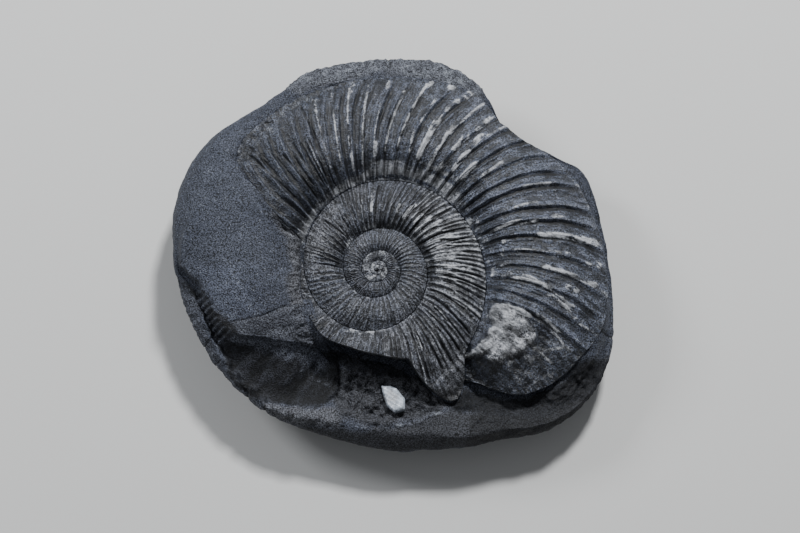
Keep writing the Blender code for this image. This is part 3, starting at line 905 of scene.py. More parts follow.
@dataclass
class WhorlStrip:
    """A stretch of the coil as one closed, ribbed solid.

    Its face is a grid of rib lines along the coil and rows across it. Walls go down from both edges to a
    flat foot, and both ends close on a point.
    """

    END_RINGS = ((0.06, 0.05), (0.3, 0.12), (0.6, 0.16), (0.9, 0.18))
    # painted shade on the walls below the face
    WALL_PAINTED_SHADE = 0.55

    name: str  # the piece's name
    coil: Coil  # the spiral it follows
    ribs: RibPattern  # its ribs
    wear: tuple[Stroke, ...]  # its worn strokes
    slots: tuple[Stroke, ...]  # its sunk slots, darkened with painted shade
    first: float  # turn of its first rib line
    last: float  # turn of its last
    lines: int  # how many rib lines
    rows: int  # how many rows across the face
    seam_gap: float = 0.04  # half the gap along a seam
    undercut: float = 0.9  # how far a broken outer wall leans in below its edge
    foot: float = 8.0  # height of the flat foot
    fineness: float = 1.0  # size of its unevenness
    dust_and_light: float = 0.35  # how pale its crests are, with dust and painted highlight
    warmth: float = 0.0  # how warm and worn its tone is all over
    painted_side_shade: Table = PLAIN_TABLE  # (angle, share) of painted shade round the coil, on the sides turned from the light
    outer_wear: Table = PLAIN_TABLE  # (angle, share) of wear on the outer half of its ribs
    furrows: Table = PLAIN_TABLE  # (angle, share) of painted shade between its ribs
    seam_silt_and_light: float = 0.0  # dust and painted light in the hollow along its inner seam, at the upper left
    seam_shade: Table = PLAIN_TABLE  # (angle, share) of painted shade in that seam
    bright: float = 0.0  # how much paler its crests are on one side, with wear and painted light
    bright_at: Pair = (175.0, 50.0)  # that side's middle and half width, in degrees
    crust_outline: Table = (  # (angle, radius) corners of the pale crust lump
        (199.4, 17.6), (197.4, 18.6), (197, 20), (198, 20.8), (196, 22.3), (198.4, 22.9), (200.2, 23.9),
        (201.3, 25.2), (205.3, 25.9), (208.6, 25), (214.2, 23.2), (217.2, 22.8), (218.5, 21.7), (218.3, 20.5),
        (221, 19.4), (224.3, 18), (218, 18.8), (206.9, 18.9), (203.7, 17.9),
    )  # fmt: skip
    crust_rise: float = 0.8  # its height
    tip_turns: Span = (2.600, 2.615, 2.695, 2.705)  # span of turns of the middle whorl's broken tip
    tip_fade: Pair = (18.6, 21.6)  # radii between which that tip loses its ribs
    tip_sink: float = 2.2  # how far it sinks
    break_turns: Pair = (3.545, 3.58)  # turns between which the crushed end starts
    break_height: float = 0.8  # height of its broken lumps
    rub_across: Pair = (0.42, 0.66)  # where the rubbed outer half starts, across the whorl
    margin_across: Pair = (0.84, 0.98)  # where the worn outer margin starts, across the whorl
    plateau: float = 0.55  # height of a worn stroke's flat top, over the ribs'
    slot_depth: float = 0.3  # depth of a sunk slot
    dent_height: float = 0.09  # height of the broad dents
    line_height: float = 0.05  # height of the fine lines along the ribs
    pit_height: float = 0.055  # depth of the fine pits
    crumb_height: float = 0.09  # height of the crumbs on worn places
    facet: Table = (  # (angle, radius) corners of the smooth facet near the end
        (196.6, 30.4), (195.7, 33.7), (195.2, 36.5), (200.8, 37.5), (200.9, 35.3), (199.8, 33.2), (198.4, 31.8),
    )  # fmt: skip

    def grid(self) -> tuple[Array, Array, Array]:
        """Where every point of the face is along the coil and across it, closer together at the seams.

        Returns:
            The rib line's turn, the point's own turn, and how far across it is.
        """
        line = np.linspace(self.first, self.last, self.lines)[None, :]
        across = 0.5 - 0.5 * np.cos(np.pi * np.linspace(0.0, 1.0, self.rows))[:, None]
        across = 0.35 * across + 0.65 * np.linspace(0.0, 1.0, self.rows)[:, None]
        lean = read_table(self.coil.grid_lean, across) / TURN * (1.0 - self.coil.upright(line))
        return line + 0.0 * across, line + lean, across + 0.0 * line

    def covered(self, places: Array, outline: Table, reach: float, grain: Grain) -> Array:
        """How far an outline covers each place of the last whorl, with a ragged border."""
        inside = inside_outline(places[..., 0], places[..., 1], corners_in_plan(outline))
        return between(inside + 0.9 * reach * grain.rough(places, 1.8, 4, 0.65), -reach, reach)

    def survey(self, grain: Grain) -> FaceGrid:
        """Measures the face's points, and reads the ribs along lines that wander a little.

        Args:
            grain: Random values.

        Returns:
            What each point is measured by.
        """
        line, turn, across = self.grid()
        opening = between(turn, self.coil.first_turn - 0.2, self.coil.first_turn + 1.0)
        inner = self.coil.seam(turn - 1.0) * opening
        outer = self.coil.edge(turn)
        radius = inner + self.seam_gap + (outer - inner - 2.0 * self.seam_gap) * across
        x, y = plan_point(TURN * turn, radius)
        flat = np.stack([x, y, 0.0 * x], axis=2)
        over = np.clip(self.coil.across(turn, radius), 0.0, 1.2)
        line = turn - self.ribs.ahead(np.minimum(over, 1.0)) * (1.0 - self.coil.upright(line))
        per_turn = (self.ribs.count(line + 0.01) - self.ribs.count(line - 0.01)) / 0.02
        wander = 0.09 * grain.rough(flat, 7.0 * self.fineness, 2)
        relief, crest, cleft = self.ribs.relief(line + wander / np.maximum(per_turn, 1.0), over)
        stray = 0.6 * wander * TURN / 63.0
        width = self.coil.seam(turn) - inner
        return FaceGrid(turn, radius, over, width, flat, self.ribs.count(line), stray, relief, crest, cleft)

    def unevenness(self, at: FaceGrid, grain: Grain) -> FaceNoise:
        """Draws the face's unevenness, the finer for a small whorl."""
        return FaceNoise(
            grain=grain,
            fibre=grain.rough(at.along_ribs(6.0, 0.5, 0.0), 1.0, 4, 0.75),
            along=grain.rough(at.along_ribs(1.0, 0.3, 3.0), 1.0, 3, 0.6),
            pits=grain.rough(at.flat, 0.9 * self.fineness, 3, 0.7),
            dents=grain.rough(at.flat, 5.0 * self.fineness, 4, 0.55),
            ragged=grain.rough(at.flat, 1.3 * self.fineness, 5, 0.7),
            broken=np.abs(grain.rough(at.flat + 40.0, 4.5, 5, 0.55)),
            lumps=grain.rough(at.flat, 1.5, 5, 0.72),
        )

    def cover(self, at: FaceGrid, noise: FaceNoise) -> FaceCover:
        """Lays out where the face is crusted, smooth, crushed, worn or slotted.

        The ribs fade at the seams, at the coil's start, under the crust, on the facet and where they are
        crushed or rubbed.

        Args:
            at: What each point is measured by.
            noise: The face's unevenness.

        Returns:
            How far each kind covers it.
        """
        crust = self.covered(at.flat, self.crust_outline, 0.4, noise.grain) * at.last
        slick = self.covered(at.flat, self.facet, 0.55, noise.grain) * at.last
        tip = band(at.turn, *self.tip_turns) * between(at.radius + 0.5 * noise.dents, *self.tip_fade)
        crushed = between(at.turn + 0.012 * noise.dents, *self.break_turns) + 0.8 * tip
        crushed = np.clip(crushed, 0.0, 1.0) * (1.0 - slick)
        margin = between(at.over + 0.04 * noise.dents, *self.margin_across) * at.last
        rubbed = read_table(self.outer_wear, at.angle) * between(at.over + 0.05 * noise.dents, *self.rub_across)
        ribbing = between(at.over, -0.02, 0.09) * (1.0 - (0.3 + 0.35 * at.last) * between(at.over, 0.8, 1.02))
        ribbing = ribbing * (1.0 - 0.85 * crust) * (1.0 - 0.9 * slick) * (1.0 - 0.85 * crushed)
        ribbing = ribbing * (0.3 + 0.7 * between(at.turn, -0.2, 0.4)) * (1.0 - rubbed)
        pale, sunk = np.zeros(at.turn.shape), np.zeros(at.turn.shape)
        for stroke in self.wear:
            pale = np.maximum(pale, stroke.mask(at.angle + at.stray, at.over))
        for stroke in self.slots:
            sunk = np.maximum(sunk, stroke.mask(at.angle + at.stray, at.over))
        pale = pale * between(noise.ragged + 0.35 * noise.fibre, -1.0, 0.0) * (1.0 - sunk)
        calm = 0.6 * at.last * (1.0 - between(at.angle, 45.0, 80.0)) * (at.angle < 0.5 * TURN)
        return FaceCover(at, noise, crust, slick, tip, crushed, margin, rubbed, ribbing, pale, sunk, calm)

    def places(self, on: FaceCover) -> Array:
        """Stands the face's points at their heights.

        The height is the coil's face plus the ribs, with flat-topped worn strokes and sunk slots, plus the
        unevenness of each kind of surface.

        Args:
            on: How far each kind of surface covers it.

        Returns:
            The places.
        """
        at, noise = on.at, on.noise
        ribs = at.relief * on.ribbing * (0.9 + 0.12 * noise.dents + 0.2 * noise.along)
        worn_top = self.plateau * self.ribs.height * on.ribbing * on.pale
        ribs = ribs + np.maximum(worn_top - ribs, 0.0) - self.slot_depth * on.sunk
        fine = self.dent_height * noise.dents + self.line_height * noise.fibre * (1.0 - on.calm)
        fine = np.clip(at.width / 8.0, 0.12, 1.0) * (fine + self.pit_height * noise.pits) * (1.0 - 0.7 * on.slick)
        crumbs = 0.1 * on.calm + 0.08 * on.rubbed + self.crumb_height * on.margin * (1.0 - on.slick)
        z = self.coil.face_height(at.turn, at.radius) + ribs + fine + crumbs * noise.lumps
        z = z + on.crushed * self.break_height * (noise.broken - 0.5) - self.tip_sink * on.tip
        z = z + on.crust * (self.crust_rise + 0.2 * noise.lumps + 0.2 * noise.grain.rough(at.flat, 3.2, 2))
        return at.flat + z[..., None] * (0.0, 0.0, 1.0)

    def dust_and_light_marks(self, on: FaceCover) -> Array:
        """How pale the face is with dust, wear and painted light, apart from its crust.

        Dust and a painted highlight lie on the crests, and dust lies in patches along the seams and on the worn
        margin. Silt and painted light lie in the hollow of the inner seam, lifting its shade, and one side's crests
        are paler with wear and painted light. The coil's middle and the flakes of the crushed end are pale all over.

        Args:
            on: How far each kind of surface covers it.

        Returns:
            The strength of the pale mark.
        """
        at, noise = on.at, on.noise
        patches = 0.25 + 0.75 * between(noise.grain.rough(at.flat + 80.0, 3.5, 3), -0.1, 0.5)
        seam_dust = (1.0 - between(at.over, 0.03, 0.14)) * (at.turn > 0.5) * (0.55 + 0.6 * noise.pits) * patches
        # dust and painted highlight along the crests
        dusty_and_lit = self.dust_and_light * at.crest**2.5 * on.ribbing * between(noise.along, -0.5, 0.5)
        dusty_and_lit = np.maximum(dusty_and_lit, (1.0 - between(at.turn, -0.1, 1.2)) * (0.5 + 0.35 * noise.pits))
        # silt and painted light in the hollow along the inner seam, where shade falls
        silt_and_light = 0.75 + 0.6 * noise.grain.rough(at.along_ribs(0.25, 2.2, 5.0), 1.0, 3)
        silt_and_light = silt_and_light * self.seam_silt_and_light * (1.0 - between(at.over + 0.03 * noise.dents, 0.06, 0.3))
        dusty_and_lit = np.maximum(dusty_and_lit, silt_and_light * (1.0 - between(at.angle, 130.0, 160.0)))
        dusty_and_lit = np.maximum(np.maximum(dusty_and_lit, 0.8 * seam_dust), 0.4 * on.margin * between(noise.ragged, 0.1, 0.7))
        flakes = 0.55 * on.crushed * (1.0 - on.crust) * between(noise.ragged + 0.6 * noise.broken, 0.75, 1.1)
        worn = 0.85 * on.pale * (1.0 + 0.2 * noise.pits)
        # one side's crests, paler with wear and painted light
        middle, reach = self.bright_at
        lit = self.bright * bell(at.angle - middle, reach) * between(at.over, 0.08, 0.2) * (0.5 + 0.6 * at.crest)
        return np.maximum(np.maximum(worn, dusty_and_lit), flakes) + lit

    def dark_marks(self, on: FaceCover) -> Array:
        """How dark the face is.

        Painted shade darkens the clefts, furrows and slots, the end of the broken tip, the sides turned from the
        light round the coil and the hollow along the inner seam. The crushed end is dark as well.

        Args:
            on: How far each kind of surface covers it.

        Returns:
            The strength of the dark mark.
        """
        at, noise = on.at, on.noise
        # painted shade between the ribs, in each rib's cleft and in the sunk slots
        furrow = read_table(self.furrows, at.angle) * (1.0 - between(at.crest, 0.08, 0.45))
        hollows = np.maximum(0.95 * between(at.cleft, 0.1, 0.8), furrow) * on.ribbing * (1.0 - 0.8 * on.pale)
        # painted shadow where the broken tip ends; the crushed end is dark as well
        broken = 0.55 * on.crushed * (1.0 - on.crust) + 0.4 * on.tip * between(at.radius, 19.5, 21.0)
        hollows = np.maximum(np.maximum(hollows, on.sunk), broken)
        # painted shade on the sides of the coil turned from the light
        dim = read_table(self.painted_side_shade, at.angle) * between(at.over, 0.02, 0.16) * (1.0 - 0.7 * on.pale)
        # painted shade in the hollow along the inner seam
        shade = read_table(self.seam_shade, at.angle)
        shade = shade * (1.0 - between(at.over + 0.02 * noise.dents, 0.08, 0.17))
        return 1.0 - (1.0 - hollows) * (1.0 - dim) * (1.0 - shade)

    def face(self) -> tuple[Array, dict[Mask, Array]]:
        """Places and marks of the face's points.

        Returns:
            The places, and the surface marks.
        """
        grain = Grain(self.ribs.seed)
        at = self.survey(grain)
        noise = self.unevenness(at, grain)
        on = self.cover(at, noise)
        dust_and_light = self.dust_and_light_marks(on)
        crust = on.crust * (0.88 + 0.4 * noise.lumps - 0.3 * between(at.radius, 21.5, 24.5))
        worn = between(0.5 * noise.along + 0.5 * noise.dents, -0.5, 0.6)
        warm = 0.5 * on.crust + 0.3 * on.pale + self.warmth * (0.4 + 0.6 * worn)
        # fine lines and pits, plus painted highlight on the crests and painted shade beside them
        fine = 0.42 * noise.fibre * (1.0 - on.calm) + 0.36 * noise.pits + 0.42 * (at.crest - 0.3) * on.ribbing
        marks = {
            Mask.PALE: np.maximum(dust_and_light, crust) * (1.0 - 0.9 * on.slick),
            Mask.DARK: self.dark_marks(on),
            Mask.WARM: np.clip(warm, 0.0, 1.0) * (1.0 - on.slick),
            Mask.SLICK: on.slick,
            Mask.FIBRE_AND_PAINTED_SHADING: 0.5 + fine * (1.0 - 0.8 * on.slick),
        }
        return self.places(on), marks

    def walls(self, face: Array) -> Array:
        """Carries the face's outer edge down to the foot, in under it and up to the inner edge.

        The outer wall leans in by a smooth step of its depth, more where no later whorl covers it, and is
        rough near its top.

        Args:
            face: Places of the face, the outer edge in the last row.

        Returns:
            The face's rows and the rows that follow, round to the first again.
        """
        grain = Grain(self.ribs.seed + 1)
        top, inner = face[-1], face[0]
        outward = top * (1.0, 1.0, 0.0) / np.hypot(top[:, 0], top[:, 1])[:, None]
        turn = self.grid()[1][-1]
        covered = self.coil.edge(turn) > self.coil.seam(turn) - 0.01
        lean_in = np.where(covered, 0.3, 1.0)[:, None] * self.undercut
        loops = [face]
        for drop in (0.06, 0.16, 0.3, 0.46, 0.64, 0.82, 1.0):
            wall = top - outward * lean_in * smooth_step(np.array(drop))
            wall = wall + outward * 0.16 * (1.0 - drop) * grain.rough(wall + 9.0 * drop, 1.3, 4)[:, None]
            wall[:, 2] = top[:, 2] + (self.foot - top[:, 2]) * drop
            loops.append(wall[None])
        low_outer, low_inner = loops[-1][0], inner.copy()
        low_inner[:, 2] = self.foot
        for share in (0.25, 0.5, 0.75, 1.0):
            loops.append((low_outer + (low_inner - low_outer) * share)[None])
        loops.append((0.5 * (low_inner + inner))[None])
        return np.concatenate(loops, axis=0)

    def end_cap(self, around: Array, forward: int) -> list[Array]:
        """Rings that close one end in a low dome.

        Args:
            around: The rows round the strip.
            forward: 1 for the coil's end and -1 for its start.

        Returns:
            The rings, the outermost first.
        """
        column = -1 if forward > 0 else 0
        ring = around[:, column]
        middle = ring.mean(axis=0)
        ahead = (ring - around[:, column - forward]).mean(axis=0)
        ahead = ahead / max(np.linalg.norm(ahead), TINY)
        return [ring + (middle - ring) * share + ahead * bulge for share, bulge in self.END_RINGS]

    def build(self) -> bpy.types.Object:
        """Closes the face into a solid and makes its mesh."""
        face, marks = self.face()
        around = self.walls(face)
        rows, extra = around.shape[0], around.shape[0] - self.rows
        start, end = self.end_cap(around, -1)[::-1], self.end_cap(around, 1)
        full = np.concatenate([np.stack(start, axis=1), around, np.stack(end, axis=1)], axis=1)
        columns = full.shape[1]
        fill = ((0, extra), (len(start), len(end)))
        marks = {mask: np.pad(values, fill, "edge") for mask, values in marks.items()}
        # painted shade on the walls below the face
        marks[Mask.DARK][self.rows :] = self.WALL_PAINTED_SHADE
        marks[Mask.PALE][self.rows :] *= 0.2
        places = np.concatenate([full.reshape(-1, 3), full[:, 0].mean(axis=0)[None], full[:, -1].mean(axis=0)[None]])
        here = np.arange(rows) * columns
        there = np.roll(here, -1)
        start_fan = np.stack([np.full(rows, rows * columns), here, there], axis=1)
        end_fan = np.stack([np.full(rows, rows * columns + 1), there + columns - 1, here + columns - 1], axis=1)
        values = {mask: np.append(values.ravel(), (0.0, 0.0)) for mask, values in marks.items()}
        quads = grid_quads(rows, columns, True, False)
        return make_mesh(self.name, places, quads, np.concatenate([start_fan, end_fan]), values)


@dataclass(frozen=True)
class Crack:
    """A line on the stone, sunk as a crack or raised as a vein or a row of beads."""

    corners: Table  # (angle, radius) along it
    width: float  # half width
    lift: float  # how far it stands out; less than 0 for a crack
    pale: float = 0.0  # share of pale mineral in it
    dark: float = 0.0  # share of shadow in it
    beads: float = 0.0  # length of a bead along it, or 0 for none

    def strength(self, places: Array, grain: Grain) -> Array:
        """1 along the line and 0 beside it, with a wandering edge and swelling into beads."""
        x = places[..., 0] + 0.22 * grain.rough(places, 1.6, 3)
        y = places[..., 1] + 0.22 * grain.rough(places + 50.0, 1.6, 3)
        near = bell(away_from_line(x, y, corners_in_plan(self.corners)), self.width)
        if self.beads:
            near = near * (0.45 + 0.55 * between(grain.layer(places, self.beads), -0.3, 0.5))
        return near


@dataclass(frozen=True)
class Region:
    """An outlined part of the stone's face with marks of its own."""

    corners: Table  # (angle, radius) round it
    border: float  # how far its border is spread
    pale: float = 0.0  # strength of the pale mark inside it
    dark: float = 0.0  # strength of the dark mark
    warm: float = 0.0  # strength of the warm mark
    slick: float = 0.0  # strength of the slick mark
    rough: float = 0.0  # height of its roughness
    grain_size: float = 1.5  # size of the roughness
    lift: float = 0.0  # how far it stands out

    def cover(self, places: Array, grain: Grain) -> Array:
        """1 inside the outline and 0 outside, with a ragged border."""
        inside = inside_outline(places[..., 0], places[..., 1], corners_in_plan(self.corners))
        ragged = inside + 0.8 * self.border * grain.rough(places, 2.0 * self.border + 0.8, 3)
        return between(ragged, -self.border, self.border)


@dataclass
class StoneGrid:
    """The stone's points before they are roughened."""

    at: Array  # place among the control rings
    angle: Array  # angle round the coil
    radius: Array  # distance from the coil's middle
    plain: Array  # the places
    cliff: Array  # share of the cliff
    wall: Array  # share of the mould's ribbed wall
    slot: Array  # share of the slot under the cap
    bars: Array  # imprints of ribs in that slot, from -1 to 1


@dataclass
class StoneBody:
    """The nodule: one closed solid in rings from the pole under the shell to the pole of its flat foot.

    Each ring is (angle, share, height), where the share is 0 at the shell's outline and 1 at the rim.
    """

    coil: Coil  # the spiral whose outline it meets
    ribs: RibPattern  # ribs whose ghosts show through the cap and whose imprints line the mould
    name: str = "matrix_stone"  # the piece's name
    columns: int = 720  # points in a ring
    rim_radius: Table = (  # (angle, radius) of the outline
        (1, 30.6), (16, 31.9), (29, 32.8), (40, 32.2), (54, 30.8), (63, 31.1), (69, 32.1), (90, 32.5), (106, 33.5),
        (117, 32.9), (123, 31.6), (127, 30.2), (130, 29.5), (139, 30.4), (143, 31.8), (148, 33), (151, 34.8),
        (155, 35.4), (167, 34.9), (177, 35), (193, 36.3), (200, 37.2), (207, 37), (214, 36.1), (220, 34.6), (225, 33),
        (233, 30.3), (244, 27.9), (256, 26.3), (269, 25.3), (281, 24.9), (293, 25), (302, 25.7), (310, 26.5),
        (327, 27.4), (345, 28.8), (353, 29.7),
    )  # fmt: skip
    rim_height: Table = (  # (angle, height) of the outline
        (0, 10.4), (60, 10.2), (110, 9.4), (128, 8.2), (150, 7), (205, 6.8), (225, 7), (250, 7), (285, 7.2),
        (310, 8.2), (335, 9.2),
    )  # fmt: skip
    # (angle, share): 1 where the stone lies on the shell's edge, 0 where it passes under it
    lip: Table = ((0, 1), (117, 1), (128, 0), (334, 0), (336.5, 1))
    low_height: Table = (  # (angle, height) of the stone at the shell's outline where it passes under
        (0, 9), (115, 10.8), (124, 9.2), (129, 7.8), (184, 7.8), (191, 9.8), (202, 9.8), (206, 9), (211, 8.4),
        (226, 8.4), (250, 9), (285, 8.8), (302.5, 8.6), (307, 12.6), (318, 13.8), (333, 14.2), (337, 14),
    )  # fmt: skip
    shoulder: Table = (  # (angle, share): how steeply it climbs from the shell to the dome
        (0, 0.6), (17, 0.6), (26, 0.4), (40, 0.2), (60, 0.1), (124, 0), (304, 0), (309, 0.6), (333, 0.6),
    )  # fmt: skip
    dome: RingTable = (  # the ring on the dome
        (0, 0.5, 16.3), (20, 0.5, 16.5), (34, 0.48, 15.3), (45, 0.42, 13.9), (60, 0.35, 13), (90, 0.35, 12),
        (115, 0.3, 10.9), (128, 0.3, 7.9), (184, 0.3, 7.8), (192, 0.3, 9.2), (202, 0.3, 9.2), (207, 0.3, 8.4),
        (215, 0.4, 7.9), (230, 0.35, 8.4), (255, 0.3, 9.2), (284, 0.14, 8.8), (303.5, 0.05, 8.6), (307.5, 0.05, 12.1),
        (322, 0.15, 13.3), (331, 0.3, 14.2), (337, 0.4, 15), (350, 0.48, 16),
    )  # fmt: skip
    cliff_top: RingTable = (  # the ring along the top of the cap's cliff
        (1.3, 0.93, 13), (5, 0.92, 13.8), (20, 0.8, 15), (36, 0.78, 14), (50, 0.65, 12.8), (90, 0.6, 11.5),
        (115, 0.5, 10.5), (128, 0.45, 7.9), (184, 0.45, 7.7), (192, 0.45, 8.4), (202, 0.45, 8.4), (208, 0.5, 8),
        (215, 0.6, 7.8), (230, 0.55, 8.8), (255, 0.5, 9.2), (284, 0.28, 8.6), (306, 0.1, 8.6), (310, 0.1, 12),
        (320, 0.3, 12.8), (329, 0.51, 13.4), (333.4, 0.68, 13.8), (335, 0.72, 14), (336.5, 0.735, 14.1),
        (341, 0.765, 14.1), (344.7, 0.785, 14), (348.7, 0.8, 13.9), (352, 0.82, 13.7), (355.7, 0.82, 13.5),
        (358.3, 0.88, 13.2),
    )  # fmt: skip
    # (angle, share) from the cliff's top to its foot
    cliff_run: Table = ((0, 0.02), (332, 0.025), (338, 0.06), (346, 0.06), (352, 0.03), (358, 0.02))
    floor: Table = (  # (angle, height) of the cliff's foot
        (1.3, 11), (5, 12.9), (20, 14.6), (36, 13.7), (50, 12.6), (90, 11.3), (115, 10.2), (128, 7.8), (184, 7.6),
        (192, 8.2), (202, 8.2), (208, 7.8), (215, 7.8), (230, 8.9), (255, 9.2), (284, 8.4), (304, 8.8), (310, 10.8),
        (320, 11.5), (330, 12.1), (336, 12.1), (345, 11.9), (354, 11.6), (358, 11.2),
    )  # fmt: skip
    wall_foot: RingTable = (  # the ring along the foot of the mould's outer wall
        (1.3, 0.965, 10.8), (5, 0.955, 11.8), (20, 0.91, 13.2), (40, 0.9, 12.4), (60, 0.84, 11.8), (90, 0.8, 11),
        (115, 0.75, 9.9), (128, 0.7, 7.7), (205, 0.7, 7.3), (215, 0.8, 8), (230, 0.75, 8.9), (255, 0.72, 9.2),
        (281, 0.6, 8.9), (285, 0.5, 8.3), (292, 0.57, 8.2), (302, 0.7, 8.2), (312, 0.84, 8.4), (320, 0.88, 8.6),
        (328, 0.87, 9.1), (334, 0.855, 9.9), (340, 0.855, 10.6), (346, 0.858, 10.9), (352, 0.862, 11),
        (355.7, 0.865, 11), (358, 0.92, 10.8),
    )  # fmt: skip
    wall_top: RingTable = (  # the ring along that wall's top
        (1.3, 0.985, 10.9), (5, 0.985, 11.2), (20, 0.97, 11.8), (40, 0.96, 11.5), (60, 0.94, 11.1), (90, 0.92, 10.6),
        (115, 0.9, 9.6), (128, 0.88, 8), (205, 0.88, 7.2), (215, 0.9, 8.2), (230, 0.88, 8.8), (255, 0.86, 9),
        (282, 0.82, 9.3), (298, 0.9, 9.6), (310, 0.95, 9.6), (320, 0.935, 10.2), (334, 0.9, 10.9), (344, 0.885, 11.3),
        (352, 0.885, 11.4), (355.7, 0.89, 11.3), (358, 0.945, 11.1),
    )  # fmt: skip
    under_floor: float = 8.2  # height of the hidden floor under the shell
    flat_share: float = 0.5  # radius of the flat foot over the rim's
    lump_depth: float = 0.035  # how much the underside swells, over the rim's radius
    lump_count: float = 3.0  # how many swellings
    lump_turn: float = 40.0  # their place in degrees
    bar_spacing: float = 2.1  # degrees from one rib imprint to the next in the slot under the cap
    bar_depth: float = 0.16  # depth of those imprints
    border_ring: int = 5  # number of the control ring at the shell's outline; the next five are the tables' rings
    foot_ring: int = 19  # number of the ring where the foot is flat
    crowding: float = 1.6  # power that draws the rows past the border ring towards it
    cliff_rings: Span = (6.4, 7.0, 8.05, 8.6)  # span of rings with the cliff
    cliff_drop: Pair = (0.7, 2.2)  # heights between which a drop comes to count as a cliff
    wall_rings: Span = (8.75, 9.2, 10.0, 10.6)  # span of rings with the mould's ribbed wall
    wall_angles: Span = (296.0, 304.0, 354.0, 359.0)  # span of angles with it
    slot_rings: Span = (6.98, 7.06, 9.2, 9.7)  # span of rings with the slot under the cap
    slot_angles: Span = (334.0, 337.0, 352.0, 355.0)  # span of angles with it
    lit_rings: Span = (7.02, 7.2, 8.1, 8.45)  # span of rings with the strip of painted light in the mould along the ledge
    lit_angles: Span = (296.0, 303.0, 333.0, 338.0)  # span of angles with it
    # shares of the quarter round from the rim to the flat foot that have a ring
    underside_steps: tuple[float, ...] = (0.08, 0.18, 0.3, 0.43, 0.57, 0.72, 0.86, 1.0)
    cracks: tuple[Crack, ...] = (  # its cracks, veins and beads
        Crack(((24.8, 27.9), (27.7, 25.8), (32, 23.8)), 0.22, -0.1, dark=0.5),
        Crack(((319.5, 18.4), (309, 18.2), (300.8, 18), (293.1, 17.8)), 0.08, 0.06, pale=0.5),
        Crack(((339, 22.9), (336.3, 18.5), (336.8, 15.1), (334.2, 12.6)), 0.12, -0.14, dark=0.45),
        Crack(((22.2, 14.7), (22.9, 14.9)), 0.17, 0.05, pale=1),
        Crack(
            ((332, 13.2), (332.8, 12.2), (330.1, 11.4), (326.1, 11.4), (325.6, 12), (328.3, 12.6), (332, 13.2)),
            0.1, 0.1, pale=0.6,
        ),
        Crack(((25.9, 30.5), (26.2, 30.7)), 0.12, 0.04, pale=0.8),
        Crack(((9.5, 30.1), (9.9, 30.3)), 0.17, 0.04, pale=0.7),
        Crack(((338.2, 26.4), (336.5, 28.4)), 0.12, -0.2, dark=0.7),
        Crack(((330.3, 26.6), (330.8, 27.8)), 0.12, -0.2, dark=0.7),
        Crack(((293.4, 14.6), (289.6, 16), (288.6, 18.4), (291.3, 20)), 0.22, -0.35, dark=0.9),
        Crack(((315.5, 24.8), (312.4, 25.4), (310, 25.8), (308, 26.6)), 0.25, -0.35, dark=0.9),
        Crack(((322, 25.4), (317.5, 26.2), (315, 27.2)), 0.22, -0.25, dark=0.7),
        Crack(((92.6, 32.6), (92.9, 32), (93.8, 30)), 0.2, -0.3, dark=0.9),
        Crack(((195.4, 32), (194.5, 34.7), (194.3, 37)), 0.2, -0.3, dark=0.9),
        Crack(((164.3, 34), (166.5, 34.9)), 0.2, -0.2, dark=0.8),
        Crack(
            ((267.1, 22.6), (257.6, 22.6), (249.6, 22.3), (241.7, 22), (235.5, 21.6)),
            0.32, 0.3, pale=0.6, beads=0.9,
        ),
        Crack(((263, 17), (255, 17.6), (246, 19.5), (240, 22)), 0.3, -0.4, dark=0.6),
        Crack(((281, 15.2), (272, 16.4), (266, 20.6), (270, 22.4)), 0.3, -0.35, dark=0.6),
    )  # fmt: skip
